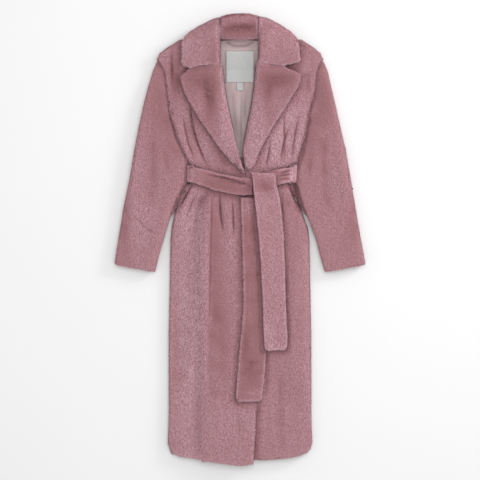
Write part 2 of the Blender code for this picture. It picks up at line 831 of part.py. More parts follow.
def make_neck():
    """Facing and lining inside the V, with the loop and both labels lying on them."""

    def lining_plan(v, u):
        y = LINING_TOP + (LINING_FOOT - LINING_TOP) * v
        right = along(ROLLS, "y", "right", y) - 0.020
        left = along(ROLLS, "y", "left", y) + 0.020
        return right + (left - right) * u, np.full(np.shape(u), y)

    def facing_plan(v, u):
        high, low = NECK_SEAM - 0.003, LINING_TOP + SEAM
        return -0.068 + 0.132 * u, np.full(np.shape(u), high + (low - high) * v)

    def lining_high(x, y):
        return lining_low(x, y) + CLOTH

    thin = flat_ends(CLOTH, satin)
    rows = body_rows(LINING_TOP, LINING_FOOT, 1.2 * CLOTH, 1.2 * CLOTH)
    cloth("lining", lining_plan, lining_high, lining_low, even(5), rows, **thin)
    rows = body_rows(NECK_SEAM - 0.003, LINING_TOP + SEAM, 1.2 * CLOTH, 1.2 * CLOTH)
    cloth("neck_facing", facing_plan, lining_high, lining_low, even(5), rows, **thin)

    def patch(name, left, right, high, low):
        def plan(v, u):
            return left + (right - left) * u, np.full(np.shape(u), high + (low - high) * v)

        def under(x, y):
            return lining_high(x, y) + 2 * SEAM

        rows = body_rows(high, low, 1.2 * LABEL, 1.2 * LABEL)
        cloth(name, plan, lambda x, y: under(x, y) + LABEL, under, even(1), rows, **flat_ends(LABEL, paper))

    patch("label", -0.0385, 0.0380, 0.5085, 0.4270)
    patch("size_tag", -0.0090, 0.0090, 0.4262, 0.4040)

    radius, sag, half = 0.0013, 0.011, 0.034
    route = bpy.data.curves.new("hanger_loop", "CURVE")
    route.dimensions = "3D"
    route.bevel_depth = radius
    route.bevel_resolution = 1
    route.use_fill_caps = True
    points = 17
    spline = route.splines.new("POLY")
    spline.points.add(points - 1)
    for i, point in enumerate(spline.points):
        x = half * (2 * i / (points - 1) - 1)
        y = 0.5345 - sag * (1 - (x / half) ** 4)
        height = float(lining_high(x, y)) + SEAM + radius
        point.co = (x, y, height, 1)
    add_object("hanger_loop", route, satin)


# ---------------------------------------------------------------- belt


def belt_low(x, y):
    return front_top(x, y) + BELT_LAYER


def over_belt(x, y):
    """1 over the two bands of the belt, 0 a little way above and below them."""
    low = np.where(x < 0.034, along(BELT_RIGHT, "x", "low", x), along(BELT_LEFT, "x", "low", x))
    high = np.where(x < 0.034, along(BELT_RIGHT, "x", "high", x), along(BELT_LEFT, "x", "high", x))
    return smooth((y - low) / 0.030 + 1) * smooth((high - y) / 0.020 + 1)


def tail_back_low(x, y):
    return front_top(x, y) + LAYER


def over_tail_back(x, y):
    left, right = along(TAIL_BACK, "y", "left", y), along(TAIL_BACK, "y", "right", y)
    across = smooth((x - left) / 0.025 + 1) * smooth((right - x) / 0.025 + 1)
    return across * smooth((0.115 - y) / 0.020 + 1)


def tail_front_low(x, y):
    """The front tail lies on both bands, on the back tail, and otherwise on the fronts."""
    below = np.maximum(over_belt(x, y), over_tail_back(x, y))
    return front_top(x, y) + LAYER + below * (BELT + BELT_LAYER + 3 * LAYER)


def make_belt():
    def band(name, columns, sign):
        low_x, high_x = columns["x"].min(), columns["x"].max()

        def plan(v, u):
            x = low_x + (high_x - low_x) * u
            low, high = along(columns, "x", "low", x), along(columns, "x", "high", x)
            return x, low + (high - low) * v

        def turned(v):
            return rolled(belt_radius(sign), BELT)

        def cut(v):
            return butt(BELT)

        cloth(
            name,
            plan,
            lambda x, y: belt_low(x, y) + BELT,
            belt_low,
            across=even(10),
            down=even(2),
            sides=(TURNED, 1) if sign < 0 else (1, TURNED),
            v_faces=(ROUND, ROUND),
            first=rim(BELT),
            last=rim(BELT),
            start=turned if sign < 0 else cut,
            finish=turned if sign > 0 else cut,
            material=rose,
        )

    band("belt_right", BELT_RIGHT, -1)
    band("belt_left", BELT_LEFT, 1)

    def back_plan(v, u):
        return -0.1385 + 0.2875 * u, np.full(np.shape(u), 0.1565 + 0.0410 * v)

    cloth(
        "belt_back",
        back_plan,
        lambda x, y: 0 * x,
        lambda x, y: BELT + 0 * x,
        across=even(3),
        down=even(1),
        sides=(TURNED, TURNED),
        v_faces=(ROUND, ROUND),
        first=rim(BELT),
        last=rim(BELT),
        start=lambda v: rolled(belt_radius(-1), BELT),
        finish=lambda v: rolled(belt_radius(1), BELT),
        material=rose,
        face=-1,
    )

    def tail(name, columns, low_height, first):
        high_y, low_y = columns["y"].max(), columns["y"].min()

        def plan(v, u):
            y = high_y + (low_y - high_y) * v
            left, right = along(columns, "y", "left", y), along(columns, "y", "right", y)
            return left + (right - left) * u, np.full(np.shape(u), y)

        cloth(
            name,
            plan,
            lambda x, y: low_height(x, y) + BELT,
            low_height,
            across=even(2),
            down=even(14),
            first=first,
            last=rim(BELT),
            start=lambda v: rim(BELT),
            finish=lambda v: rim(BELT),
            material=rose,
        )

    tail("belt_tail_back", TAIL_BACK, tail_back_low, butt(BELT))
    tail("belt_tail_front", TAIL_FRONT, tail_front_low, rim(BELT))


def belt_radius(sign):
    """Half the height that the belt's two halves share where they meet at the side."""
    x = -0.1385 if sign < 0 else 0.1490
    return (float(belt_low(x, BELT_MIDDLE)) + BELT - SEAM) / 2


# ---------------------------------------------------------------- the coat

for old in list(bpy.data.objects):
    bpy.data.objects.remove(old, do_unlink=True)
collection = bpy.data.collections.new("faux_fur_coat")
bpy.context.scene.collection.children.link(collection)
rose = fur_material("rose_fur", (0.42, 0.22, 0.26))
satin = fur_material("rose_satin", (0.50, 0.41, 0.42), 0.45)
paper = fur_material("woven_label", (0.75, 0.74, 0.73), 0.7)

make_body()
make_sleeve("sleeve_right", "right")
make_sleeve("sleeve_left", "left")
make_lapel("lapel_left", LAPEL_LEFT, GORGE_LEFT, front_left_top)
make_lapel("lapel_right", LAPEL_RIGHT, GORGE_RIGHT, front_right_top)
make_collar()
make_neck()
make_belt()
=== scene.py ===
# %% [markdown]
# # A dusty rose faux fur coat, laid flat
#
# The coat lies on its back on a pale floor, front up, with its belt tied, and the camera looks straight
# down at it. The solids of the part come in first and stay where they are. Every piece of cloth is then
# dressed: a copy of its solid is cut finer and softened, sunk by the depth of the pile, creased,
# and combed all over with short fur that fills the space up to the solid's own surface again.
#
# Metres everywhere, but for the length of the hairs. +Y runs from the hem to the collar, +X to the coat's own
# left sleeve, +Z off the floor.
# Right and left are the wearer's, so the right side is on the left of the picture.

import math

import bmesh
import bpy
import numpy as np
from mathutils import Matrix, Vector
from mathutils.bvhtree import BVHTree
from mathutils.kdtree import KDTree


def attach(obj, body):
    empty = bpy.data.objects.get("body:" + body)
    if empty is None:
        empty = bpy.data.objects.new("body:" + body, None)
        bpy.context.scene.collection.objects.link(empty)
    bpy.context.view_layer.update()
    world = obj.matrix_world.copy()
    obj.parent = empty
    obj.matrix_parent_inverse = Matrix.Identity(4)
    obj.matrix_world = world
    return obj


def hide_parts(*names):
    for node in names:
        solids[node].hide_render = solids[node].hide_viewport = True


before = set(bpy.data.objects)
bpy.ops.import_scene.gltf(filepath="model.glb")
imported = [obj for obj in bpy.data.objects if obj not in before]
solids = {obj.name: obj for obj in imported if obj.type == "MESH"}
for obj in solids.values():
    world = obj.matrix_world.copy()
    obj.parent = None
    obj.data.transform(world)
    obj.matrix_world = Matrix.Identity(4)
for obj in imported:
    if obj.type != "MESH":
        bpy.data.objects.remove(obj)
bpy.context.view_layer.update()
rng = np.random.default_rng(27)

# %% [markdown]
# ## What each piece is like
#
# A coat like this is cut from one cloth, but its pieces don't look alike, because the pile is combed
# differently on each. Where the hairs lie down, the camera sees their pale tips. Where they stand up and
# point at the camera, it looks in between them, at the deeper rose of their roots. On the real coat that
# makes the lapels, the inside of the collar and the rear belt end darker than the body. So each piece has a
# direction in which it was combed, an angle at which the hairs lean, and a tone, which is painted shade for
# how deep the camera sees into that piece's pile.

# %% The pieces, with how each was combed
FRONT_DOWN = (0.0, -1.0, -0.12)
# the tone is painted shade for how deep the camera sees into the pile, with a little painted light on two belt
# pieces
COMBED = {  # piece: direction of the pile, how far it stands up in degrees, hair length in mm, tone
    "back": (FRONT_DOWN, 36, 7.5, 0.00),
    "front_right": (FRONT_DOWN, 40, 7.5, 0.00),
    "front_left": (FRONT_DOWN, 40, 7.5, -0.06),
    "sleeve_right": ((-0.11, -0.99, -0.12), 42, 7.5, -0.08),
    "sleeve_left": ((0.11, -0.99, -0.12), 42, 7.5, -0.10),
    "lapel_right": ((0.39, -0.92, -0.12), 50, 8.0, -0.18),
    "lapel_left": ((-0.39, -0.92, -0.12), 50, 8.0, -0.13),
    "collar_right": ((-0.45, -0.89, -0.12), 42, 8.0, -0.02),
    "collar_left": ((0.45, -0.89, -0.12), 42, 8.0, -0.10),
    "collar_stand": ((0.0, -0.95, -0.30), 50, 8.0, -0.42),
    "collar_fall": (FRONT_DOWN, 36, 7.5, 0.00),
    "belt_right": ((-0.97, 0.20, -0.10), 44, 6.5, -0.44),
    "belt_left": ((0.97, 0.20, -0.10), 40, 6.5, 0.02),
    "belt_back": ((1.0, 0.0, -0.10), 36, 6.5, 0.00),
    "belt_tail_front": ((0.05, -1.0, -0.12), 42, 7.0, 0.04),
    "belt_tail_back": ((0.03, -1.0, -0.12), 48, 7.0, -0.42),
}
FUR_PIECES = list(COMBED)
PILE_DEPTH = 0.0030  # how far the cloth under the pile lies below the solid's surface
UNDER_DEPTH = 0.0012  # the same where the coat's own weight presses the pile against the floor
STAND_DEPTH = 0.0012  # the same on the collar's stand, which is pressed flat by the neck
print(len(FUR_PIECES), "fur pieces, pile", sorted({row[2] for row in COMBED.values()}), "mm")

# %% [markdown]
# ## Creases, and patches of brushed nap and of painted light and shade
#
# Thick fur cloth folds in few, soft, rounded waves, and where two waves meet the pile parts in a thin line,
# which is darkened with painted shade. Those lines were read off the photograph one at a time. Each row is one
# crease: where it starts,
# where it ends, how far it bows to one side, how wide and how deep it is. A row with a negative depth is a
# soft ridge. A row with a lap is a fold that lies over the next: seen from its start, it falls off sharply on
# one side and eases out on the other, to the right for 1 and to the left for -1.
# The underside isn't seen in the photograph, but it has been lain on, so it gets its own.
#
# The pile also holds soft patches. Some are brush strokes, where it was stroked the other way, and some are
# painted light and shade: lighter on broad folds that face the light, darker beside a fold, along a side that
# turns away, low on the collar's stand and under the belt's tail. Each row of the second table is one patch:
# its middle, its two half widths, and how much lighter or darker it looks.


# %% Tables of creases, and of patches of brushed nap and of painted light and shade
def table(heading, *rows):
    """Rows under named columns, as one dictionary for each row."""
    return [dict(zip(heading.split(), row)) for row in rows]


CREASE = "x0 y0 x1 y1 bow width depth lap"
CREASES = {
    "front_right": table(
        CREASE,
        (-0.136, 0.376, -0.082, 0.192, 0.012, 0.0050, 0.0060),
        (-0.155, 0.350, -0.114, 0.200, 0.008, 0.0070, 0.0034, -1),
        (-0.064, 0.266, -0.034, 0.186, 0.003, 0.0060, 0.0024),
        (-0.184, 0.530, -0.184, 0.410, 0.000, 0.0060, 0.0028),
        (-0.163, 0.512, -0.166, 0.380, 0.002, 0.0075, 0.0026, 1),
        (-0.148, 0.450, -0.142, 0.360, 0.002, 0.0065, 0.0022),
        (-0.054, 0.134, -0.043, 0.016, 0.004, 0.0044, 0.0052),
        (-0.124, 0.156, -0.166, 0.080, 0.002, 0.0052, 0.0040),
        (-0.108, 0.146, -0.150, 0.046, 0.003, 0.0060, 0.0028),
        (-0.098, 0.140, -0.126, 0.010, 0.006, 0.0066, 0.0026),
        (-0.124, 0.060, -0.160, -0.420, -0.012, 0.0130, 0.0024, 1),
        (-0.075, 0.136, -0.083, -0.230, 0.001, 0.0050, 0.0028, -1),
        (-0.083, -0.160, -0.078, -0.480, 0.002, 0.0110, 0.0022, -1),
        (-0.021, 0.126, -0.016, 0.000, 0.000, 0.0048, 0.0036),
        (-0.008, -0.330, 0.002, -0.560, 0.004, 0.0070, 0.0020),
        (-0.118, -0.250, -0.122, -0.580, -0.006, 0.0120, 0.0020),
        (-0.060, -0.200, -0.052, -0.540, 0.008, 0.0140, -0.0022),
        (-0.100, 0.060, -0.104, -0.400, 0.004, 0.0140, -0.0020),
    ),
    "front_left": table(
        CREASE,
        (0.137, 0.316, 0.108, 0.196, 0.006, 0.0050, 0.0054),
        (0.120, 0.350, 0.122, 0.206, 0.002, 0.0056, 0.0040),
        (0.165, 0.350, 0.142, 0.200, 0.006, 0.0070, 0.0034, 1),
        (0.180, 0.480, 0.184, 0.380, 0.000, 0.0070, 0.0026),
        (0.086, 0.275, 0.068, 0.196, 0.000, 0.0052, 0.0036),
        (0.130, 0.154, 0.166, 0.080, 0.002, 0.0050, 0.0044),
        (0.142, 0.160, 0.178, 0.104, 0.002, 0.0050, 0.0034),
        (0.120, 0.146, 0.138, 0.070, 0.002, 0.0060, 0.0026),
        (0.113, 0.136, 0.120, -0.100, 0.001, 0.0052, 0.0028, 1),
        (0.122, -0.040, 0.130, -0.330, 0.000, 0.0100, 0.0022, 1),
        (0.160, -0.020, 0.152, -0.420, 0.010, 0.0120, -0.0022),
        (0.110, -0.320, 0.116, -0.580, 0.005, 0.0110, 0.0020),
    ),
    "sleeve_right": table(
        CREASE,
        (-0.196, 0.372, -0.146, 0.196, 0.004, 0.0080, 0.0027, 1),
        (-0.262, 0.330, -0.282, 0.020, 0.010, 0.0120, -0.0022),
        (-0.238, 0.300, -0.244, 0.080, -0.006, 0.0110, 0.0024),
        (-0.300, 0.120, -0.316, -0.040, 0.004, 0.0090, 0.0022),
        (-0.206, 0.250, -0.186, 0.170, 0.004, 0.0080, 0.0024),
    ),
    "sleeve_left": table(
        CREASE,
        (0.196, 0.362, 0.163, 0.196, 0.002, 0.0080, 0.0027, -1),
        (0.258, 0.340, 0.286, 0.060, -0.008, 0.0120, -0.0022),
        (0.226, 0.300, 0.240, 0.060, 0.006, 0.0110, 0.0024),
        (0.300, 0.140, 0.318, -0.030, 0.004, 0.0090, 0.0022),
        (0.200, 0.250, 0.184, 0.160, 0.004, 0.0080, 0.0024),
    ),
    "lapel_right": table(
        CREASE,
        (-0.060, 0.410, -0.068, 0.360, 0.000, 0.0050, -0.0020),
        (-0.090, 0.440, -0.082, 0.350, 0.006, 0.0110, 0.0020),
        (-0.018, 0.212, -0.004, 0.190, 0.000, 0.0040, 0.0030),
    ),
    "lapel_left": table(CREASE, (0.092, 0.440, 0.070, 0.330, 0.008, 0.0120, 0.0018)),
    "collar_right": table(
        CREASE,
        (-0.120, 0.545, -0.110, 0.490, 0.004, 0.0060, 0.0016),
        (-0.080, 0.560, -0.074, 0.500, -0.004, 0.0090, -0.0014),
    ),
    "collar_left": table(
        CREASE,
        (0.118, 0.550, 0.108, 0.490, 0.004, 0.0080, 0.0016),
        (0.076, 0.565, 0.080, 0.500, 0.004, 0.0090, -0.0014),
    ),
    "collar_stand": table(CREASE, (-0.050, 0.568, 0.047, 0.572, -0.004, 0.0080, 0.0026)),
    "belt_right": table(
        CREASE,
        (-0.100, 0.176, 0.040, 0.139, -0.006, 0.0036, 0.0044),
        (-0.060, 0.160, 0.040, 0.152, 0.002, 0.0034, 0.0026),
        (-0.110, 0.186, -0.070, 0.172, 0.000, 0.0036, 0.0018),
    ),
    "belt_left": table(
        CREASE,
        (0.100, 0.177, 0.140, 0.192, 0.002, 0.0030, 0.0040),
        (0.098, 0.170, 0.142, 0.178, 0.000, 0.0030, 0.0040),
        (0.100, 0.161, 0.138, 0.163, -0.002, 0.0030, 0.0032),
    ),
    "belt_tail_front": table(
        CREASE,
        (0.050, 0.140, 0.098, 0.146, 0.004, 0.0060, 0.0014),
        (0.066, 0.020, 0.070, -0.240, 0.004, 0.0100, 0.0012),
    ),
    "belt_tail_back": table(
        CREASE,
        (0.020, 0.010, 0.052, 0.004, 0.002, 0.0050, 0.0016),
        (0.018, -0.060, 0.050, -0.056, 0.002, 0.0050, 0.0016),
        (0.010, -0.330, 0.056, -0.322, 0.002, 0.0060, 0.0016),
    ),
}
UNDERSIDE_CREASES = {
    "back": table(
        CREASE,
        (-0.110, 0.120, -0.130, -0.300, 0.010, 0.0120, 0.0016),
        (-0.030, 0.125, -0.020, -0.460, 0.006, 0.0130, 0.0016),
        (0.060, 0.125, 0.075, -0.380, -0.008, 0.0120, 0.0016),
        (0.135, 0.110, 0.150, -0.200, 0.006, 0.0110, 0.0014),
        (-0.070, 0.230, -0.100, 0.440, 0.006, 0.0110, 0.0014),
        (0.070, 0.230, 0.095, 0.430, -0.006, 0.0110, 0.0014),
    ),
    "sleeve_right": table(CREASE, (-0.240, 0.300, -0.265, 0.000, 0.006, 0.0110, 0.0014)),
    "sleeve_left": table(CREASE, (0.240, 0.300, 0.265, 0.000, -0.006, 0.0110, 0.0014)),
}
PATCH = "x y half_x half_y tone"
# patches of brushed nap, and of painted light and shade: lighter on broad lit folds, darker beside folds and
# under the belt's tail
NAP_AND_PAINTED_LIGHT_PATCHES = {
    "front_right": table(
        PATCH,
        (-0.060, -0.130, 0.024, 0.300, -0.20),
        (-0.046, -0.290, 0.028, 0.130, -0.12),
        (-0.176, -0.200, 0.010, 0.300, -0.12),
        (-0.136, -0.150, 0.046, 0.400, 0.36),
        (-0.090, 0.260, 0.040, 0.060, 0.10),
        (-0.175, 0.420, 0.012, 0.060, -0.25),
        (-0.120, 0.300, 0.030, 0.060, -0.10),
        (-0.020, -0.450, 0.040, 0.120, 0.08),
        (-0.020, 0.020, 0.020, 0.080, 0.12),
    ),
    "front_left": table(
        PATCH,
        (0.150, -0.150, 0.014, 0.300, -0.10),
        (0.180, -0.300, 0.012, 0.300, 0.06),
        (0.050, -0.285, 0.022, 0.045, -0.22),
        (0.115, 0.270, 0.060, 0.110, 0.50),
        (0.120, -0.480, 0.060, 0.100, 0.06),
    ),
    "sleeve_right": table(
        PATCH,
        (-0.215, 0.380, 0.030, 0.090, -0.20),
        (-0.270, 0.060, 0.050, 0.120, 0.14),
        (-0.310, 0.020, 0.020, 0.120, -0.16),
    ),
    "sleeve_left": table(
        PATCH,
        (0.225, 0.380, 0.030, 0.090, -0.22),
        (0.260, 0.120, 0.040, 0.120, 0.06),
        (0.300, 0.060, 0.030, 0.140, -0.10),
    ),
    "lapel_right": table(
        PATCH,
        (-0.110, 0.430, 0.032, 0.020, -0.38),
        (-0.080, 0.385, 0.018, 0.050, -0.46),
        (-0.104, 0.360, 0.012, 0.030, 0.16),
        (-0.040, 0.330, 0.018, 0.090, 0.42),
        (-0.020, 0.240, 0.030, 0.040, 0.42),
    ),
    "lapel_left": table(
        PATCH,
        (0.110, 0.432, 0.040, 0.018, -0.44),
        (0.080, 0.415, 0.022, 0.036, -0.24),
        (0.100, 0.370, 0.014, 0.030, 0.14),
        (0.046, 0.300, 0.024, 0.090, 0.42),
        (0.030, 0.220, 0.030, 0.040, 0.30),
    ),
    "collar_right": table(PATCH, (-0.125, 0.520, 0.030, 0.030, 0.20), (-0.068, 0.500, 0.020, 0.030, -0.22)),
    "collar_left": table(PATCH, (0.120, 0.540, 0.040, 0.030, 0.16), (0.080, 0.495, 0.030, 0.018, 0.06)),
    "collar_stand": table(PATCH, (-0.006, 0.592, 0.034, 0.010, 0.34), (0.000, 0.570, 0.070, 0.010, -0.30)),
    "belt_right": table(PATCH, (-0.110, 0.172, 0.020, 0.030, 0.20), (-0.010, 0.150, 0.060, 0.016, -0.16)),
    "belt_tail_front": table(PATCH, (0.064, 0.150, 0.026, 0.018, -0.40), (0.075, -0.250, 0.020, 0.060, 0.10)),
    "belt_tail_back": table(
        PATCH,
        (0.030, 0.088, 0.020, 0.020, 0.34),
        (0.030, 0.030, 0.040, 0.014, -0.20),
        (0.030, -0.030, 0.040, 0.016, -0.12),
        (0.030, -0.098, 0.040, 0.014, -0.16),
        (0.030, -0.160, 0.040, 0.012, -0.10),
        (0.016, -0.280, 0.016, 0.050, -0.20),
        (0.032, -0.350, 0.020, 0.030, -0.20),
        (0.040, -0.410, 0.026, 0.012, 0.22),
    ),
}
print(sum(map(len, CREASES.values())) + sum(map(len, UNDERSIDE_CREASES.values())), "creases and ridges")
# the patches are partly brushed nap and partly painted light and shade
print(sum(map(len, NAP_AND_PAINTED_LIGHT_PATCHES.values())), "brushed patches")


# %% [markdown]
# ## Reading a crease
#
# A crease runs along a shallow arc. For any point we need two numbers: how far it is from that arc, and
# whether it is still between the arc's ends. A bell curve of the first, faded out by the second, gives a
# trough with soft sides and no hard ends, which is how thick cloth folds.


# %% Depth of the creases at any place
LAP_OUT, LAP_IN = 3.6, 0.55  # how much wider a lap eases out, and how much narrower it falls off
PARTED = 0.0028  # the pile parts over a crease that is at least this deep
PARTING_WIDTH = 0.0026


def smooth(t):
    """0 below 0, 1 above 1 and an even S between."""
    t = np.clip(t, 0, 1)
    return t * t * (3 - 2 * t)


def beside(crease, x, y):
    """How far each place is to the right of the crease's arc, and how much of the crease is left there."""
    dx, dy = crease["x1"] - crease["x0"], crease["y1"] - crease["y0"]
    length = math.hypot(dx, dy)
    share = ((x - crease["x0"]) * dx + (y - crease["y0"]) * dy) / length**2
    off = ((x - crease["x0"]) * dy - (y - crease["y0"]) * dx) / length
    off = off - crease["bow"] * (1 - (2 * np.clip(share, 0, 1) - 1) ** 2)
    fade = min(0.40 * length, 0.060)  # over this length each end runs out
    return off, smooth(share * length / fade) * smooth((1 - share) * length / fade)


def bell(crease, off):
    """The crease's section: 1 in its line and nothing far from it, drawn out on the side of a lap."""
    width = crease["width"]
    lap = crease.get("lap", 0)
    if lap:
        width = np.where(off * lap > 0, LAP_OUT * width, LAP_IN * width)
    return np.exp(-((off / width) ** 2))


def sunk(creases, x, y):
    """How far the cloth sinks at each place, in metres."""
    total = np.zeros(len(x))
    for crease in creases:
        off, left = beside(crease, x, y)
        wander = 1 + 0.25 * np.sin(90 * y + 60 * x + 400 * crease["x0"])
        total += crease["depth"] * wander * left * bell(crease, off)
    return total


def parting(creases, x, y):
    """1 in the thin line where the pile parts over a crease, 0 a few millimetres away."""
    most = np.zeros(len(x))
    for crease in creases:
        if crease["depth"] >= PARTED:
            off, left = beside(crease, x, y)
            strength = min(1, (crease["depth"] - 0.0016) / 0.0030)
            most = np.maximum(most, strength * left * np.exp(-((off / PARTING_WIDTH) ** 2)))
    return most


def ripple(points, size, seed):
    """A soft unevenness between about -1 and 1, made of a few slanting waves of roughly this size."""
    waves = np.random.default_rng(seed)
    total = np.zeros(len(points))
    for _ in range(7):
        way = waves.normal(size=3)
        way *= 2 * math.pi / size / np.linalg.norm(way) * waves.uniform(0.6, 1.6)
        total += np.sin(points @ way + waves.uniform(0, 2 * math.pi))
    return total / 3.0


print("deepest crease", round(1000 * max(c["depth"] for c in CREASES["front_right"]), 1), "mm")


# %% [markdown]
# ## Which faces show
#
# Fur only has to grow where it can be seen. A short ray leaves the middle of each face along its normal. If
# it meets another solid, or the far wall of the same sleeve, in less than a centimetre, that face is covered:
# it is the lining side, or it lies under another layer. All the others are the coat's outside. A rounded side
# counts as covered only where it touches its neighbour, because a gap between two sides can be seen into.

# %% A search tree over all the solids
COVER_REACH = 0.009  # a broad face with something this near in front of it doesn't show
TOUCH_REACH = 0.0015  # the same for a face on a rounded side
SIDE_REACH = 0.014  # two sides nearer to each other than this swell to meet


def mesh_arrays(mesh):
    """Corner positions and triangles of a mesh, as arrays."""
    mesh.calc_loop_triangles()
    points = np.empty(len(mesh.vertices) * 3)
    mesh.vertices.foreach_get("co", points)
    faces = np.empty(len(mesh.loop_triangles) * 3, np.int32)
    mesh.loop_triangles.foreach_get("vertices", faces)
    return points.reshape(-1, 3), faces.reshape(-1, 3)


def search_tree(names):
    """One tree that finds the nearest face or the first face hit among these solids."""
    all_points, all_faces, count = [], [], 0
    for name in names:
        points, faces = mesh_arrays(solids[name].data)
        all_points.append(points)
        all_faces.append(faces + count)
        count += len(points)
    return BVHTree.FromPolygons(np.concatenate(all_points).tolist(), np.concatenate(all_faces).tolist())


everything = search_tree(list(solids))


def free_way(tree, places, ways, most, skip=0.0001):
    """How far each place can see along its way before it meets the tree, and a metre if nothing is met."""
    found = np.ones(len(places))
    for i, (place, way) in enumerate(zip(places, ways)):
        way = Vector(way)
        distance = tree.ray_cast(Vector(place) + skip * way, way, most)[3]
        if distance is not None:
            found[i] = distance + skip
    return found


print("search tree over", len(solids), "solids")


# %% [markdown]
# ## From a coarse solid to soft cloth
#
# The solids have long flat faces. Cutting every edge that is longer than wanted, again and again, gives a
# finer net without moving anything, and it can be finer just where a crease will be pressed in. Then the
# heights are averaged with their neighbours, which turns the flat faces into one flowing surface. The
# rounded rims keep their places, so that seams stay closed and the outline stays true.


# %% Cut a copy of a solid finer
CUT_STEPS = (0.024, 0.016, 0.011, 0.0085, 0.0065, 0.0050)  # the edges are cut down to these lengths in turn
BROAD_EDGE = 0.0170  # the longest edge wanted away from the creases
DEEP_EDGE, SHALLOW_EDGE = 0.0048, 0.0085  # the same in a crease where the pile parts, and in any other
FOOT_EDGE, FOOT_LENGTH = 0.0035, 0.018  # the same in the foot of a belt end, and how much of the end that is


def finer(name, creases):
    """A new mesh with the solid's own shape, its long edges cut, closest along the creases."""
    mesh = solids[name].data.copy()
    mesh.name = f"{name}_cloth"
    for wanted in CUT_STEPS:
        cloth = bmesh.new()
        cloth.from_mesh(mesh)
        bmesh.ops.remove_doubles(cloth, verts=cloth.verts, dist=1e-6)
        bmesh.ops.triangulate(cloth, faces=cloth.faces)
        middles = np.array([(e.verts[0].co + e.verts[1].co) / 2 for e in cloth.edges])
        lengths = np.array([e.calc_length() for e in cloth.edges])
        limit = np.full(len(middles), max(wanted, BROAD_EDGE))
        for crease in creases:
            off, left = beside(crease, middles[:, 0], middles[:, 1])
            near = (np.abs(off) < min(2.2 * crease["width"], 0.012)) & (left > 0) & (middles[:, 2] > 0.012)
            finest = DEEP_EDGE if crease["depth"] >= PARTED else SHALLOW_EDGE
            limit = np.where(near, np.minimum(limit, max(wanted, finest)), limit)
        if name.startswith("belt_tail"):  # its round foot needs short edges too
            in_foot = middles[:, 1] < middles[:, 1].min() + FOOT_LENGTH
            limit = np.where(in_foot, max(wanted / 2, FOOT_EDGE), limit)
        chosen = [edge for edge, cut in zip(cloth.edges, lengths > limit) if cut]
        if chosen:
            bmesh.ops.subdivide_edges(cloth, edges=chosen, cuts=1)
            bmesh.ops.triangulate(cloth, faces=[face for face in cloth.faces if len(face.verts) > 3])
        cloth.to_mesh(mesh)
        cloth.free()
    return mesh


def sum_around(edges, values):
    """The sum of these values over the neighbours of each vertex."""
    total = np.bincount(edges[:, 0], values[edges[:, 1]], len(values))
    return total + np.bincount(edges[:, 1], values[edges[:, 0]], len(values))


def level(points, edges, steady, rounds):
    """Averages the heights with their neighbours', except where the mesh is to stay steady."""
    count = np.bincount(edges.ravel(), minlength=len(points))
    for _ in range(rounds):
        mean = sum_around(edges, points[:, 2]) / count
        points[:, 2] += np.where(steady, 0, 0.6 * (mean - points[:, 2]))
    return points


trial = finer("belt_left", CREASES["belt_left"])
print("belt_left:", len(solids["belt_left"].data.polygons), "faces before,", len(trial.polygons), "after")
bpy.data.meshes.remove(trial)

# %% [markdown]
# ## Shades of the pile and of the cloth
#
# Faux fur is dyed in one bath, and its colour still runs from a deep rose at the root, where little light
# gets in, to a pale greyed pink at the tip; the deeper rose of the root is painted shade. Each hair carries two
# numbers: how far along it a point is, and its tone, which is a little different for every hair and also holds
# the painted light and shade of its place. The material turns the first into a colour and lightens or deepens
# it by the second. A fine noise keeps any two places from matching. Sheen stands for the light that short
# hairs scatter at a grazing angle.

# %% Small helpers for node materials
def new_material(name, roughness, sheen=0.0, sheen_tint=(1, 1, 1)):
    """A material and its shader, with what is the same all over set on the shader itself."""
    material = bpy.data.materials.new(name)
    material.use_nodes = True
    shader = material.node_tree.nodes["Principled BSDF"]
    shader.inputs["Roughness"].default_value = roughness
    shader.inputs["Sheen Weight"].default_value = sheen
    shader.inputs["Sheen Roughness"].default_value = 0.45
    shader.inputs["Sheen Tint"].default_value = (*sheen_tint, 1)
    shader.inputs["Specular IOR Level"].default_value = 0.25
    return material, shader


def add_node(material, kind, **settings):
    """A node; settings with a capital letter go to its sockets, the others to the node itself."""
    node = material.node_tree.nodes.new(kind)
    for key, value in settings.items():
        if key[0].isupper():
            node.inputs[key.replace("_", " ")].default_value = value
        else:
            setattr(node, key, value)
    return node


def link(material, start, end):
    material.node_tree.links.new(start, end)


def ramp(material, source, *stops):
    """A colour ramp from (place, colour) stops."""
    node = add_node(material, "ShaderNodeValToRGB")
    while len(node.color_ramp.elements) < len(stops):
        node.color_ramp.elements.new(0.5)
    for element, (place, colour) in zip(node.color_ramp.elements, stops):
        element.position = place
        element.color = (*colour, 1)
    link(material, source, node.inputs["Fac"])
    return node.outputs["Color"]


def noise(material, scale, detail=3.0, stretch=(1, 1, 1)):
    """Noise in the coat's own coordinates, so that it stays put in every view."""
    place = add_node(material, "ShaderNodeTexCoord")
    stretched = add_node(material, "ShaderNodeMapping")
    stretched.inputs["Scale"].default_value = stretch
    link(material, place.outputs["Object"], stretched.inputs["Vector"])
    node = add_node(material, "ShaderNodeTexNoise", Scale=scale, Detail=detail, Roughness=0.55)
    link(material, stretched.outputs["Vector"], node.inputs["Vector"])
    return node.outputs["Fac"]


def math_node(material, operation, first, second, third=None):
    """A sum of one kind or another, of numbers or of other nodes' values."""
    node = add_node(material, "ShaderNodeMath", operation=operation)
    for socket, value in zip(node.inputs, (first, second, third)):
        if isinstance(value, (int, float)):
            socket.default_value = value
        elif value is not None:
            link(material, value, socket)
    return node.outputs["Value"]


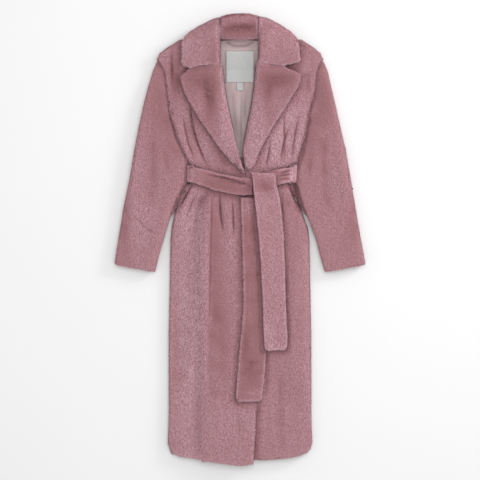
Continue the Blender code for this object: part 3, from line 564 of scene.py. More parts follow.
def bump(material, shader, height, strength, distance):
    """Fine relief, too small to be modelled."""
    node = add_node(material, "ShaderNodeBump", Strength=strength, Distance=distance)
    link(material, height, node.inputs["Height"])
    link(material, node.outputs["Normal"], shader.inputs["Normal"])


def shaded(material, colour, share):
    """The colour, darkened by this share where the painted shade kept at the surface's vertices is 1."""
    shade = add_node(material, "ShaderNodeAttribute", attribute_name="shade")
    darker = add_node(material, "ShaderNodeHueSaturation")
    value = math_node(material, "MULTIPLY_ADD", shade.outputs["Fac"], -share, 1.0)
    link(material, value, darker.inputs["Value"])
    link(material, colour, darker.inputs["Color"])
    return darker.outputs["Color"]


print("helpers for materials: new_material, add_node, link, ramp, noise, math_node, bump, shaded")

# %% [markdown]
# ## Hair, and the ground that it stands on
#
# The tone of a hair does three things at once, as on the real coat: a lighter hair is also greyer and a little
# cooler, because more of its tip shows. The ground is the knitted cloth under the pile. Only a little of it is
# seen between the hairs, so a fine noise in the colours of the root is enough.

# %% The materials of the pile and of the ground that it stands on
# the deeper rose of the root is painted shade down in the pile
ROOT, MIDDLE, TIP = (0.330, 0.138, 0.154), (0.560, 0.292, 0.327), (0.665, 0.445, 0.482)
MOTTLE, DRIFT = 0.26, 0.24  # how much the tone changes within two centimetres, and within a hand's width


def make_pile_material():
    """Hair: its colour runs from root to tip, and its tone makes it lighter or deeper."""
    material, shader = new_material("rose_pile", 0.85, 0.12, (1.0, 0.80, 0.83))
    along = add_node(material, "ShaderNodeAttribute", attribute_name="along")
    tone = add_node(material, "ShaderNodeAttribute", attribute_name="tone")
    colour = ramp(material, along.outputs["Fac"], (0.0, ROOT), (0.55, MIDDLE), (1.0, TIP))
    mottle = math_node(material, "MULTIPLY_ADD", noise(material, 55.0), MOTTLE, -MOTTLE / 2)
    drift = math_node(material, "MULTIPLY_ADD", noise(material, 9.0, 2.0), DRIFT, -DRIFT / 2)
    # the tone carries each tuft's painted light and shade as well as its own random difference
    whole = math_node(material, "ADD", tone.outputs["Fac"], math_node(material, "ADD", mottle, drift))
    shade = add_node(material, "ShaderNodeHueSaturation")
    link(material, math_node(material, "MULTIPLY_ADD", whole, 0.56, 0.945), shade.inputs["Value"])
    link(material, math_node(material, "MULTIPLY_ADD", whole, -0.42, 1.0), shade.inputs["Saturation"])
    link(material, math_node(material, "MULTIPLY_ADD", whole, -0.025, 0.5), shade.inputs["Hue"])
    link(material, colour, shade.inputs["Color"])
    link(material, shade.outputs["Color"], shader.inputs["Base Color"])
    return material


def make_ground_material():
    """The knitted ground that the pile stands on, as it shows between the hairs."""
    material, shader = new_material("rose_ground", 0.95, 0.15, (1.0, 0.8, 0.82))
    fine = noise(material, 420.0, 2.0)
    colour = ramp(material, fine, (0.30, (0.300, 0.134, 0.152)), (0.75, (0.450, 0.232, 0.260)))
    # painted shade: the ground is darkened under other layers, where two sides meet and along a parting
    link(material, shaded(material, colour, 0.75), shader.inputs["Base Color"])
    bump(material, shader, fine, 0.6, 0.0012)
    return material


pile_material, ground_material = make_pile_material(), make_ground_material()
print("pile from", ROOT, "at the root to", TIP, "at the tip")

# %% [markdown]
# ## Smooth cloths
#
# The lining is a satin weave: smooth, with a faint rib along its threads, and painted shade darkens it
# where it folds and where a layer lies over it.
# Noise that is stretched along one axis looks like such threads. The cord of the loop is the same cloth, in a
# deeper pink. A woven label has its threads the other way, and this one is left blank.


# %% The materials of the lining, the loop and the labels
def make_satin_material(name, dark, light):
    """Lining cloth: smooth, faintly ribbed along its threads, with painted shade in its folds and under layers.
    """
    material, shader = new_material(name, 0.42, 0.10, (1.0, 0.93, 0.94))
    threads = noise(material, 700.0, 2.0, stretch=(1.0, 0.12, 1.0))
    cloud = noise(material, 14.0, 2.0)
    mixed = math_node(material, "MULTIPLY_ADD", threads, 0.45, math_node(material, "MULTIPLY", cloud, 0.55))
    colour = shaded(material, ramp(material, mixed, (0.30, dark), (0.70, light)), 0.45)
    link(material, colour, shader.inputs["Base Color"])
    bump(material, shader, threads, 0.25, 0.0004)
    return material


def make_label_material():
    """A woven label: close satin threads across it, off-white, with nothing woven in."""
    material, shader = new_material("blank_label", 0.55, 0.10)
    weft = noise(material, 900.0, 2.0, stretch=(0.15, 1.0, 1.0))
    colour = ramp(material, weft, (0.30, (0.385, 0.388, 0.383)), (0.70, (0.445, 0.448, 0.442)))
    link(material, colour, shader.inputs["Base Color"])
    bump(material, shader, weft, 0.3, 0.0003)
    return material


satin_material = make_satin_material("rose_lining", (0.390, 0.286, 0.285), (0.460, 0.348, 0.346))
cord_material = make_satin_material("rose_cord", (0.300, 0.180, 0.185), (0.380, 0.240, 0.245))
label_material = make_label_material()
print("materials:", [m.name for m in bpy.data.materials if m.name.startswith(("rose", "blank"))])

# %% [markdown]
# ## Measure the cloth before it is touched
#
# To know how a piece should be dressed, a few things are measured on its copy first: which way each face and
# vertex looks, how much of the sky low over a place is hidden by the layers round it, and how near a place is
# to a line such as a seam. The second makes the soft shade beside a lapel or the belt, which the eye reads as
# depth.

# %% Directions, shade and nearness


def normals_of(mesh):
    """Which way the surface looks at each vertex."""
    found = np.empty(len(mesh.vertices) * 3)
    mesh.vertex_normals.foreach_get("vector", found)
    return found.reshape(-1, 3)


def edges_of(mesh):
    """The two vertices of each edge."""
    found = np.empty(len(mesh.edges) * 2, np.int32)
    mesh.edges.foreach_get("vertices", found)
    return found.reshape(-1, 2)


def facings(points, faces):
    """The middle and the direction of each face, and its area."""
    corners = points[faces]
    across = np.cross(corners[:, 1] - corners[:, 0], corners[:, 2] - corners[:, 0])
    twice = np.linalg.norm(across, axis=1)
    return corners.mean(axis=1), across / np.maximum(twice, 1e-12)[:, None], twice / 2


def closeness(points, normals, edges, reach=0.016):
    """How much of the sky low over each vertex is hidden by other layers, from 0 to 1."""
    found = np.zeros(len(points))
    turns = np.arange(8) * math.pi / 4
    ways = [Vector((math.cos(t) * 0.88, math.sin(t) * 0.88, 0.475)) for t in turns]
    for i in np.nonzero(normals[:, 2] > 0.25)[0]:
        place = Vector(points[i] + 0.0012 * normals[i])
        found[i] = sum(everything.ray_cast(place, way, reach)[0] is not None for way in ways) / 8
    count = np.bincount(edges.ravel(), minlength=len(points))
    for _ in range(2):
        found = 0.5 * found + 0.5 * sum_around(edges, found) / count
    return found


def nearness(places, x, y, reach):
    """1 at these places, as seen from above, and 0 more than a few reaches away from them."""
    if not len(places):
        return np.zeros(len(x))
    tree = KDTree(len(places))
    for i, place in enumerate(places):
        tree.insert((place[0], place[1], 0), i)
    tree.balance()
    off = np.array([tree.find((px, py, 0))[2] for px, py in zip(x, y)])
    return np.exp(-((off / reach) ** 2))


def keep_number(mesh, name, values):
    """Stores a number at each vertex, for a material to read."""
    mesh.attributes.new(name, "FLOAT", "POINT").data.foreach_set("value", values.astype(np.float32))


def add_object(name, data):
    """Puts a mesh, a lamp or the camera into the scene."""
    added = bpy.data.objects.new(name, data)
    bpy.context.scene.collection.objects.link(added)
    return added


print("the back's largest face:", round(10000 * facings(*mesh_arrays(solids["back"].data))[2].max(), 1), "cm2")

# %% [markdown]
# ## Places that need a hand
#
# Three places are shaped one at a time, as a maker would do with a needle or an iron. The belt's ends are
# rounded at the foot. The collar's crown is rounded, and the groove beside its stand is closed, because on the
# real collar all of that is one piece of fur. The left lapel is drawn out to the crossing, where it runs on
# under the right one.

# %% Belt ends, crown of the collar and foot of the lapel
GROOVE_X = 0.0525  # how far out the groove between the stand and a leaf is
CROWN_CORNERS = (-0.051, 0.049)  # where the stand's upper edge would make a corner with each leaf
CROWN_CUT = 0.0055  # how much of that corner goes
LAPEL_FOOT = 0.235  # the left lapel is drawn out from here to the hem's side
stand_tree = search_tree(["collar_stand"])


def round_end(points, radius=0.014):
    """Turns the two square corners at a belt end's foot into round ones."""
    up = (points[:, 1] - points[:, 1].min()) / radius
    foot = up < 1
    left, right = points[foot, 0].min(), points[foot, 0].max()
    middle, half = (left + right) / 2, (right - left) / 2
    cut = radius * (1 - np.sqrt(np.clip(1 - (1 - up) ** 2, 0, 1)))
    points[:, 0] = np.where(foot, middle + (points[:, 0] - middle) * (half - cut) / half, points[:, 0])


def round_collar(points, normals):
    """Rounds the collar's crown, closes the groove beside its stand, and gives the nearness to that groove."""
    by_stand = np.zeros(len(points))
    for i, (px, py, pz) in enumerate(points):
        beyond = max(abs(px) - GROOVE_X, 0)
        if beyond < 0.012 and py > 0.535 and pz > 0.028 and normals[i, 2] > -0.3:
            above = Vector((math.copysign(0.046, px), min(py, 0.606), 0.2))
            hit = stand_tree.ray_cast(above, Vector((0, 0, -1)))[0]
            by_stand[i] = math.exp(-((beyond / 0.006) ** 2))
            if hit and hit.z - STAND_DEPTH > pz and abs(px) > 0.0505:
                points[i, 0] -= math.copysign(0.0008 * by_stand[i], px)
                points[i, 2] += by_stand[i] * (hit.z - STAND_DEPTH - pz)
    for corner_x in CROWN_CORNERS:
        nearby = np.exp(-(((points[:, 0] - corner_x) / 0.016) ** 2)) * smooth((points[:, 1] - 0.575) / 0.03)
        points[:, 1] -= CROWN_CUT * nearby
    return by_stand


def draw_out_foot(points):
    """Draws the foot of the left lapel down to where the fronts cross, as it runs under the right one."""
    amount = 0.44 * np.maximum(LAPEL_FOOT - points[:, 1], 0)
    points[:, 0] += 0.15 * amount * (1 - smooth((points[:, 0] - 0.02) / 0.02))
    points[:, 1] -= amount


print("crown corners at", CROWN_CORNERS, "lowered by", round(1000 * CROWN_CUT, 1), "mm")

# %% [markdown]
# ## Outside, lining side and covered faces
#
# A piece of fur cloth has an outside with pile and an inside with lining, and part of both is covered by the
# next piece. The rays from the middle of each face tell which is which. A lone vertex whose faces are all
# covered, but whose neighbours show, goes with its neighbours, or it would stand out of the outline as a nub.


# %% Which faces show, and which are lining
def what_shows(name, own, middles, facing):
    """Which faces of a piece are the coat's outside."""
    gap = free_way(everything, middles, facing, SIDE_REACH)
    seen = gap > np.where(np.abs(facing[:, 2]) < 0.7, TOUCH_REACH, COVER_REACH)
    if name.startswith("sleeve"):  # the ends of the flat hollow inside don't show either
        seen &= free_way(own, middles, facing, 0.30) > 0.30
    return seen


def lining_side(name, own, middles, facing, seen):
    """Which faces of a piece are its lining side."""
    if name.startswith("sleeve"):
        return ~seen & (free_way(own, middles, facing, COVER_REACH) < COVER_REACH)
    if name.startswith("front"):
        return ~seen & (facing[:, 2] < -0.5)
    return ~seen & (facing[:, 2] > 0.5) & (name == "back")


def share_outside(faces, edges, seen, count):
    """1 at a vertex of a face that shows, and where most of its neighbours are such, and 0 at the others."""
    share = np.zeros(count)
    np.maximum.at(share, faces.ravel(), np.repeat(seen.astype(float), 3))
    enough = 0.5 * np.bincount(edges.ravel(), minlength=count)
    return np.where(sum_around(edges, share) > enough, 1.0, share)


middles, facing, _ = facings(*mesh_arrays(solids["belt_left"].data))
seen = what_shows("belt_left", None, middles, facing)
print("belt_left:", int(seen.sum()), "of", len(seen), "faces show")

# %% [markdown]
# ## How deep to sink the cloth
#
# The finer copy is sunk along its normals by the depth of the pile, less where it lies on the floor, and
# not at all where another layer covers it. Where two sides face each other across a narrow gap, such as a
# sleeve beside the skirt, each swells to meet the other, as cloth does that is laid side by side. A seam stays
# closed and is not sunk, and neither is the shoulder's end, where three pieces meet in a point.

# %% Room for the pile
BESIDE = {"sleeve_right": 0, "sleeve_left": 0, "front_right": 0.10, "front_left": 0.10, "back": 0.10}
BESIDE |= {"belt_right": 0.115, "belt_left": 0.125, "belt_back": 0.115}  # how far out a piece meets a sleeve
BESIDE_OUT = 0.245  # no piece swells further out than this
BESIDE_FOOT = 0.07  # the swelling ends here, where the sleeves part from the skirt
SEWN, STAND_SEWN = 0.0020, 0.008  # sides nearer to each other than this are sewn together
SHOULDER = (0.217, 0.497)  # the shoulder's end
RIM_ROOM = 0.0028  # more room on a rim that the hairs point out over


def gap_beside(name, points, faces, middles, facing):
    """How far each vertex on a side is from the next piece, and a metre elsewhere."""
    others = search_tree([other for other in solids if other != name])
    free = free_way(others, middles, facing, SIDE_REACH)
    gap = np.ones(len(points))
    np.minimum.at(gap, faces.ravel(), np.repeat(np.where(np.abs(facing[:, 2]) < 0.7, free, 1.0), 3))
    return gap


def sink_depth(name, points, normals, gap, wall, outside):
    """How far each vertex sinks, below 0 where it swells to meet its neighbour, and where it does that."""
    up, out, y = normals[:, 2], np.abs(points[:, 0]), points[:, 1]
    depth = np.where(up < -0.5, UNDER_DEPTH, STAND_DEPTH if name == "collar_stand" else PILE_DEPTH)
    if name != "collar_stand":
        comb = np.array(COMBED[name][0])
        comb = comb / np.linalg.norm(comb)
        depth = depth + RIM_ROOM * np.clip(normals @ comb, 0, 1) * (np.abs(up) < 0.6)
    depth = depth * (1 - np.exp(-((np.hypot(out - SHOULDER[0], y - SHOULDER[1]) / 0.014) ** 2)))
    meets = (gap < SIDE_REACH) & (np.abs(up) < 0.85)
    meets &= (y > BESIDE_FOOT) & (out < BESIDE_OUT) & (out > BESIDE.get(name, 1.0))
    swell = 0.45 * gap * smooth((y - BESIDE_FOOT) / 0.03)
    sewn = gap < (STAND_SEWN if name == "collar_stand" else SEWN)
    sewn &= (y > 0.15) & (not name.startswith("belt"))
    return np.where(meets, -swell, np.minimum(depth * outside, 0.45 * wall) * ~sewn), meets


print("room for the pile, mm:", [1000 * depth for depth in (PILE_DEPTH, UNDER_DEPTH, STAND_DEPTH)])

# %% [markdown]
# ## Dress one piece of cloth
#
# Now all of it comes together. The cloth is levelled and sunk, the creases are pressed in from above, never
# deeper than the wall allows, and a gentle ripple of half a millimetre breaks up what is left of the evenness.
# The inner faces of the sleeves and the body are lining.

# %% The cloth of every fur piece
LEAST_WALL = 0.0018  # what is left of a wall under the deepest crease
RIPPLE = 0.0005
LOWEST = 0.0006  # no cloth lies nearer to the floor than this
MEETING_REACH = 0.0050  # how far the shade between two sides that meet reaches
THICKEST = 0.05  # no wall is thicker than this
cloths, outsides, shades = {}, {}, {}


def press_in(name, points, normals, wall, outside, shade):
    """Presses the creases in, ripples the cloth, and gives the shade with that of the partings added."""
    top, under = CREASES.get(name, []), UNDERSIDE_CREASES.get(name, [])
    x, y = points[:, 0], points[:, 1]
    upward = smooth((normals[:, 2] - 0.1) / 0.5) * outside
    downward = smooth((-normals[:, 2] - 0.1) / 0.5) * outside
    wave = RIPPLE * ripple(points, 0.06, 3)
    press = np.minimum(sunk(top, x, y), np.maximum(wall - PILE_DEPTH - LEAST_WALL, 0))
    # painted shade: the thin line where the pile parts over a crease is darkened
    shade = np.clip(shade + 0.9 * parting(top, x, y) * upward, 0, 1)
    points[:, 2] += (wave - press) * upward + sunk(under, x, y) * downward
    points[:, 2] = np.maximum(points[:, 2], LOWEST)
    return shade


def dress(name):
    """Adds the soft cloth of one fur piece, and keeps which of its faces show."""
    mesh = finer(name, CREASES.get(name, []))
    own = search_tree([name])
    points, faces = mesh_arrays(mesh)
    edges, normals = edges_of(mesh), normals_of(mesh)
    middles, facing, _ = facings(points, faces)
    seen = what_shows(name, own, middles, facing)
    outside = share_outside(faces, edges, seen, len(points))
    gap = gap_beside(name, points, faces, middles, facing)
    wall = free_way(own, points, -normals, THICKEST, 0.0003)
    shade = closeness(points, normals, edges)
    points = level(points, edges, np.abs(normals[:, 2]) < 0.8, 6)
    depth, meets = sink_depth(name, points, normals, gap, wall, outside)
    if name.startswith(("sleeve", "front")):
        line = points[meets & (points[:, 2] > 0.010)]
        meeting = nearness(line, points[:, 0], points[:, 1], MEETING_REACH)
        low = smooth((0.40 - points[:, 1]) / 0.12) * smooth((points[:, 1] - 0.02) / 0.05)
        shade = shade + (0.15 + 0.38 * low) * meeting
    points = points - normals * depth[:, None]
    if name.startswith("collar"):
        shade = shade * (1 - round_collar(points, normals))
    if name.startswith("belt_tail"):
        round_end(points)
    if name == "lapel_left":
        draw_out_foot(points)
    shade = press_in(name, points, normals, wall, outside, shade)
    mesh.vertices.foreach_set("co", points.ravel())
    keep_number(mesh, "shade", shade)
    mesh.materials.clear()
    mesh.materials.append(ground_material)
    mesh.materials.append(satin_material)
    inner = lining_side(name, own, middles, facing, seen)
    mesh.polygons.foreach_set("material_index", inner.astype(np.int32))
    mesh.shade_smooth()
    mesh.update()
    cloth = add_object(f"{name}_cloth", mesh)
    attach(cloth, "root")
    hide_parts(name)
    cloths[name], outsides[name], shades[name] = cloth, seen, shade


for name in FUR_PIECES:
    dress(name)
print("cloth faces:", sum(len(cloth.data.polygons) for cloth in cloths.values()))

# %% [markdown]
# ## Comb in the pile
#
# Real pile has hundreds of hairs to a square centimetre, far too many to model. A tuft of those that cling
# together is about a millimetre wide, so one narrow blade stands for each tuft: two triangles, pointed at both
# ends, with a bend in the middle. Roots are strewn evenly over the faces that show, thinner underneath,
# where the coat lies on the floor. How light a tuft looks is reckoned from all that is known of its place: the
# piece's own tone, the patches of brushed nap and of painted light and shade, painted shade in the creases and
# painted light on the ridges, painted rim light along an outline and the painted shade of a layer above it.
# A soft limit keeps any tuft from turning white.

# %% Where the tufts stand, and their tones
TUFTS = 370_000  # over the whole coat
TUFT_WIDTH = 0.00104
MOST_TUFTS = 84_000  # on one piece
# painted rim light: tufts near an outline are made lighter by this much on each piece
PAINTED_RIM_LIGHT = {"sleeve_right": 0.15, "sleeve_left": 0.15, "front_right": 0.35, "front_left": 0.20, "back": 0.0}
OTHER_PAINTED_RIM_LIGHT = 0.85  # how much lighter the outline of any other piece is
MOST_TONE = 0.42  # no tuft gets lighter than this
UNDER_SHARE, RIM_SHARE = 0.26, 1.20  # how close the tufts stand underneath and round the rims


def weights_of(name):
    """A dressed cloth's corners and faces, each face's weight for the tufts, and the middles of its rims."""
    points, faces = mesh_arrays(cloths[name].data)
    _, facing, area = facings(points, faces)
    up = facing[:, 2]
    share = np.where(up < -0.6, UNDER_SHARE, np.where(up < 0.6, RIM_SHARE, 1.0))
    rims = points[faces][np.abs(up) < 0.5].mean(axis=1)
    return points, faces, area * share * outsides[name], rims


def unit(vectors):
    """The same directions, all one long."""
    return vectors / np.maximum(np.linalg.norm(vectors, axis=1, keepdims=True), 1e-9)


def nap_and_painted_light_tone(name, x, y):
    """How much lighter the patches of brushed nap and of painted light and shade make each place."""
    total = np.zeros(len(x))
    for patch in NAP_AND_PAINTED_LIGHT_PATCHES.get(name, []):
        across, up = (x - patch["x"]) / patch["half_x"], (y - patch["y"]) / patch["half_y"]
        total += patch["tone"] * np.exp(-(across**2 + up**2))
    return total


def strew(faces, weight, count):
    """The face on which each tuft stands, and the share that each of its corners has in the tuft's place."""
    chosen = faces[rng.choice(len(faces), count, p=weight / weight.sum())]
    a, b = rng.random(count), rng.random(count)
    over = a + b > 1
    a[over], b[over] = 1 - a[over], 1 - b[over]
    return chosen, np.stack([1 - a - b, a, b], axis=1)[:, :, None]


def tones_of(name, root, normal, on_rim, edge, crease, shade):
    """How much lighter or deeper each tuft is than the coat as a whole, with the painted light and shade of its
    place.
    """
    x, y = root[:, 0], root[:, 1]
    # painted light and shade: the patches, darker in a crease's valley, lighter on a ridge, lighter along an
    # outline and round a rim, darker under another layer and along a parting
    folds = sunk(CREASES.get(name, []), x, y) / 0.005
    nap_patches_and_painted_light = 1.5 * nap_and_painted_light_tone(name, x, y) - np.clip(folds, 0, 1.2) * 0.55 + np.clip(-folds, 0, 0.6) * 0.25
    nap_patches_and_painted_light = nap_patches_and_painted_light + PAINTED_RIM_LIGHT.get(name, OTHER_PAINTED_RIM_LIGHT) * edge
    tones = COMBED[name][3] + nap_patches_and_painted_light * (normal[:, 2] > 0) + 0.3 * on_rim - 0.9 * shade - 0.65 * crease
    return np.where(tones > 0, MOST_TONE * np.tanh(tones / MOST_TONE), tones)


share_of = {name: weights_of(name)[2].sum() for name in FUR_PIECES}
print("weighed area of the outside:", round(sum(share_of.values()), 3), "m2")

# %% [markdown]
# ## Bend each tuft
#
# Each blade starts steeply, bends over along the combing direction, and is turned a little at random. Over a
# crease the pile is short and parts, along an outline it is shorter, and underneath the floor presses it flat.
# The shading of a blade follows the cloth beneath, so that a thousand tiny faces read as one soft surface.

# %% The shape of the tufts on one piece
STRAY, TURN = 0.10, 0.35  # how far hairs stray from the way they were combed, and turn about themselves
SPREAD, SWIRL = 9, 6  # degrees by which their lean differs, one from the next and over a few centimetres
FIRST_BEND, SECOND_BEND = 0.35, -0.15  # a tuft starts steeper than it stands as a whole, and ends flatter
# near an outline the pile is made paler with painted rim light
EDGE_REACH = 0.0040  # how far in from an outline its pile is shorter and paler


def blades(name, count):
    """Corners, shading normals and tones of this many tufts on one piece."""
    comb, stand, length, _ = COMBED[name]
    points, faces, weight, rims = weights_of(name)
    chosen, shares = strew(faces, weight, count)
    root = (points[chosen] * shares).sum(axis=1)
    normal = unit((normals_of(cloths[name].data)[chosen] * shares).sum(axis=1))
    comb = unit(np.array(comb)[None, :] + STRAY * rng.normal(size=(count, 3)))
    lying = unit(comb - (comb * normal).sum(axis=1, keepdims=True) * normal)
    side = unit(np.cross(lying, normal) + TURN * rng.normal(size=(count, 3)))
    crease = parting(CREASES.get(name, []), root[:, 0], root[:, 1]) * (normal[:, 2] > 0)
    shade = (shades[name][chosen] * shares[:, :, 0]).sum(axis=1)
    kept = rng.random(count) > 0.8 * crease
    root, normal, lying, side = root[kept], normal[kept], lying[kept], side[kept]
    crease, shade, count = crease[kept], shade[kept], kept.sum()
    on_rim = smooth((0.75 - np.abs(normal[:, 2])) / 0.5)
    rise = np.radians(stand + SPREAD * rng.normal(size=count) + SWIRL * ripple(root, 0.018, 11))
    rise = np.where(normal[:, 2] < -0.5, 0.25 * rise, rise)  # the floor presses the pile flat
    size = length / 1000 * rng.uniform(0.65, 1.0, count) * (1 - 0.6 * np.clip(crease + shade, 0, 1))
    edge = nearness(rims, root[:, 0], root[:, 1], EDGE_REACH)
    size = size * (1 - 0.55 * on_rim) * (1 - 0.45 * edge)
    first, second = np.clip(rise + FIRST_BEND, 0.02, 1.45), np.clip(rise + SECOND_BEND, 0.0, 1.3)
    middle = root + 0.5 * size[:, None] * (np.cos(first)[:, None] * lying + np.sin(first)[:, None] * normal)
    tip = middle + 0.5 * size[:, None] * (np.cos(second)[:, None] * lying + np.sin(second)[:, None] * normal)
    half = (0.5 * TUFT_WIDTH * rng.uniform(0.7, 1.3, count))[:, None] * side
    corners = np.stack([root, middle - half, middle + half, tip], axis=1)
    corners[:, :, 2] = np.maximum(corners[:, :, 2], 0.0004)
    shading = unit(normal + 0.22 * side * rng.normal(size=(count, 1)) - 0.15 * lying)
    tones = tones_of(name, root, normal, on_rim, edge, crease, shade)
    return corners, shading, tones + 0.06 * rng.normal(size=count)


print("one tuft is", round(1000 * TUFT_WIDTH, 2), "mm wide and up to", COMBED["back"][2], "mm long on the back")

# %% [markdown]
# ## One mesh for all the tufts of a piece
#
# Every piece gets its pile as one mesh, built straight from the arrays, because a modifier or a loop over
# hundreds of thousands of tufts would be far too slow. Each tuft also gets a small square of its own in a flat
# map, so that its colours can be baked into an image later.


# %% Grow the pile
def add_pile(name, count):
    """One mesh of all the tufts on one piece."""
    corners, shading, tones = blades(name, count)
    count = len(tones)
    mesh = bpy.data.meshes.new(f"{name}_pile")
    first = 4 * np.arange(count)[:, None]
    faces = (first[:, :, None] + np.array([[[0, 2, 1], [1, 2, 3]]])).reshape(-1, 3)
    mesh.vertices.add(4 * count)
    mesh.vertices.foreach_set("co", corners.ravel())
    mesh.loops.add(faces.size)
    mesh.loops.foreach_set("vertex_index", faces.ravel().astype(np.int32))
    mesh.polygons.add(len(faces))
    mesh.polygons.foreach_set("loop_start", np.arange(0, faces.size, 3, dtype=np.int32))
    mesh.update(calc_edges=True)
    keep_number(mesh, "along", np.tile([0.0, 0.55, 0.55, 1.0], count))
    keep_number(mesh, "tone", np.repeat(tones, 4))
    side = math.ceil(math.sqrt(count))  # each tuft has a small square of its own in the flat map
    cell = np.stack([np.arange(count) % side, np.arange(count) // side], axis=1)[:, None, :]
    spots = np.array([(0.5, 0.1), (0.85, 0.5), (0.15, 0.5), (0.15, 0.5), (0.85, 0.5), (0.5, 0.9)])[None]
    flat_map = mesh.uv_layers.new(name="OFBake")
    flat_map.data.foreach_set("uv", ((cell + spots) / side).ravel().astype(np.float32))
    mesh.shade_smooth()
    mesh.normals_split_custom_set_from_vertices(np.repeat(shading, 4, axis=0).tolist())
    mesh.materials.append(pile_material)
    pile = add_object(f"{name}_pile", mesh)
    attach(pile, "root")
    return pile


piles = {}
for name in FUR_PIECES:
    piles[name] = add_pile(name, min(int(TUFTS * share_of[name] / sum(share_of.values())), MOST_TUFTS))
print("pile faces:", {name: len(pile.data.polygons) for name, pile in piles.items()})
print("all pile faces:", sum(len(pile.data.polygons) for pile in piles.values()))

# %% [markdown]
# ## Lining, facing, loop and labels
#
# Inside the neck there is smooth lining with a pleat down its middle, a strip of the same cloth below the
# neck seam, a small hanging loop, and a woven label with a size tag under it, both left blank. They are thin
# flat solids, so a finer copy with the pleat and a few soft pulls pressed into it is all they need.

# %% Dress the thin cloths
NECK_FOLDS = table(
    CREASE,
    (0.0040, 0.425, 0.0020, 0.230, 0.000, 0.0022, 0.0009),
    (-0.0040, 0.425, -0.0020, 0.230, 0.000, 0.0030, -0.0008),
    (-0.0200, 0.420, -0.0060, 0.260, 0.002, 0.0050, 0.0006),
    (0.0180, 0.420, 0.0120, 0.300, 0.002, 0.0050, 0.0006),
    (-0.0450, 0.519, 0.0430, 0.519, 0.000, 0.0030, 0.0004),
    (-0.0700, 0.538, 0.0660, 0.538, 0.000, 0.0045, -0.0070),
)


def thin(name, material, creases, wanted):
    """A finer copy of a thin solid, with shallow folds in its upper side."""
    mesh = solids[name].data.copy()
    mesh.name = f"{name}_cloth"
    cloth = bmesh.new()
    cloth.from_mesh(mesh)
    bmesh.ops.remove_doubles(cloth, verts=cloth.verts, dist=1e-6)
    for _ in range(5):
        chosen = [edge for edge in cloth.edges if edge.calc_length() > wanted]
        if chosen:
            bmesh.ops.subdivide_edges(cloth, edges=chosen, cuts=1)
            bmesh.ops.triangulate(cloth, faces=[face for face in cloth.faces if len(face.verts) > 3])
    bmesh.ops.recalc_face_normals(cloth, faces=cloth.faces)
    cloth.to_mesh(mesh)
    cloth.free()
    points, _ = mesh_arrays(mesh)
    fold = sunk(creases, points[:, 0], points[:, 1])
    # painted shade: under the layers above a thin cloth, and more in its folds
    shade = closeness(points, normals_of(mesh), edges_of(mesh), 0.030) + np.clip(fold / 0.0011, 0, 0.6)
    points[:, 2] -= fold
    mesh.vertices.foreach_set("co", points.ravel())
    keep_number(mesh, "shade", np.clip(shade, 0, 1))
    mesh.materials.clear()
    mesh.materials.append(material)
    mesh.shade_smooth()
    mesh.update()
    piece = add_object(f"{name}_cloth", mesh)
    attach(piece, "root")
    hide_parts(name)
    return piece


lining = thin("lining", satin_material, NECK_FOLDS, 0.0040)
facing_strip = thin("neck_facing", satin_material, NECK_FOLDS, 0.0045)
loop = thin("hanger_loop", cord_material, [], 0.0030)
label = thin("label", label_material, [], 0.0060)
size_tag = thin("size_tag", label_material, [], 0.0040)
print("thin cloth faces:", [len(o.data.polygons) for o in (lining, facing_strip, loop, label, size_tag)])

# %% [markdown]
# ## The cut of each piece
#
# Cloth can't stretch much, so each piece has to have the area of what was cut for it. The two numbers are the
# width and the length of the cut of what shows, and the area is that of its outline. A sleeve is cut flat and
# sewn into a tube, so its width is measured all round. What stands on a piece, its pile, is listed with it.

# %% Print the cut of what shows beside the cloth as laid
CUTS = {  # piece: width and length of the cut, and its area, in metres and square metres
    "back": (0.47, 1.16, 0.430),
    "front_right": (0.27, 1.15, 0.238),
    "front_left": (0.28, 1.15, 0.245),
    "sleeve_right": (0.27, 0.60, 0.120),
    "sleeve_left": (0.27, 0.60, 0.120),
    "lapel_right": (0.13, 0.31, 0.024),
    "lapel_left": (0.14, 0.29, 0.024),
    "collar_right": (0.12, 0.15, 0.013),
    "collar_left": (0.12, 0.15, 0.014),
    "collar_stand": (0.10, 0.09, 0.008),
    "collar_fall": (0.28, 0.11, 0.021),
    "belt_right": (0.19, 0.06, 0.009),
    "belt_left": (0.14, 0.06, 0.007),
    "belt_back": (0.32, 0.05, 0.014),
    "belt_tail_front": (0.07, 0.52, 0.034),
    "belt_tail_back": (0.08, 0.56, 0.038),
    "lining": (0.14, 0.29, 0.022),
    "neck_facing": (0.14, 0.03, 0.0036),
}
cut_pieces = cloths | {"lining": lining, "neck_facing": facing_strip}
goes_with = {name: [pile] for name, pile in piles.items()}
goes_with |= {"lining": [label, size_tag], "neck_facing": [loop]}
for name, (width, length, area) in CUTS.items():
    piece, with_pieces = cut_pieces[name], goes_with[name]
    half_surface = facings(*mesh_arrays(piece.data))[2].sum() / 2
    print(f"{name}: cut {area:.4f} m2, cloth as laid {half_surface:.4f} m2")

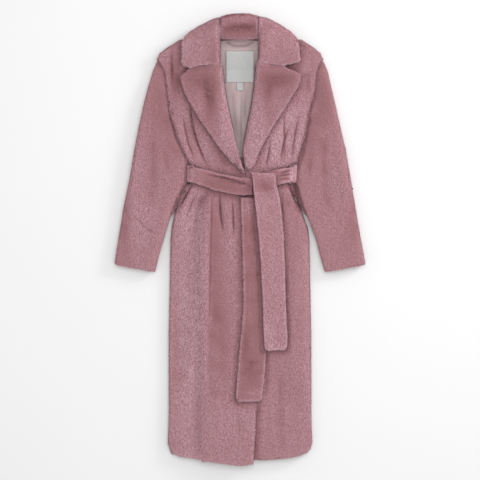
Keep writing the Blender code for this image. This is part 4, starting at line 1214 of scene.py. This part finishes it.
# %% [markdown]
# ## Floor, light and camera
#
# The coat was photographed from above on white, in soft even light with a little more from the upper right.
# A large lamp overhead gives the soft shadows, a second one low on the right picks out the pile and the
# creases, and a pale sky fills the rest. The camera hangs over the middle of the coat, far enough away for
# the picture to be almost without perspective.

# %% Stage
PICTURE_SPAN = 1.296  # metres of floor across the picture
CAMERA_HEIGHT = 3.60
COAT_LEVEL = 0.02  # the height at which the picture has that span
FLOOR_REACH, FLOOR_DROP = 6.0, 0.0004


def add_lamp(name, place, size, power):
    """A round lamp that shines on the middle of the coat."""
    data = bpy.data.lights.new(name, "AREA")
    data.shape, data.size, data.energy = "DISK", size, power
    lamp = add_object(name, data)
    lamp.location = place
    lamp.rotation_euler = (-Vector(place)).to_track_quat("-Z", "Y").to_euler()
    lamp.visible_camera = False


def make_floor():
    """A wide pale sheet just below the coat."""
    material, shader = new_material("pale_floor", 0.9)
    colour = ramp(material, noise(material, 3.0), (0.0, (0.735, 0.735, 0.735)), (1.0, (0.750, 0.750, 0.750)))
    link(material, colour, shader.inputs["Base Color"])
    mesh = bpy.data.meshes.new("floor")
    signs = ((-1, -1), (1, -1), (1, 1), (-1, 1))
    corners = [(FLOOR_REACH * i, FLOOR_REACH * j, -FLOOR_DROP) for i, j in signs]
    mesh.from_pydata(corners, [], [(0, 1, 2, 3)])
    mesh.materials.append(material)
    floor = add_object("floor", mesh)


make_floor()
add_lamp("overhead", (0.3, 0.5, 3.2), size=2.6, power=53)
add_lamp("raking", (2.4, 1.7, 1.3), size=1.0, power=38)
world = bpy.data.worlds.new("studio")
world.use_nodes = True
world.node_tree.nodes["Background"].inputs["Color"].default_value = (1.0, 1.0, 1.0, 1)
world.node_tree.nodes["Background"].inputs["Strength"].default_value = 0.74
bpy.context.scene.world = world
bpy.context.scene.view_settings.view_transform = "Standard"  # so that white stays white

camera_data = bpy.data.cameras.new("camera")
camera_data.sensor_width = 36.0
camera_data.lens = 36.0 * (CAMERA_HEIGHT - COAT_LEVEL) / PICTURE_SPAN
camera_data.clip_end = 50.0
camera = add_object("camera", camera_data)
camera.location = (0.0, 0.0, CAMERA_HEIGHT)
bpy.context.scene.camera = camera
print("lens", round(camera_data.lens, 1), "mm at", CAMERA_HEIGHT, "m")
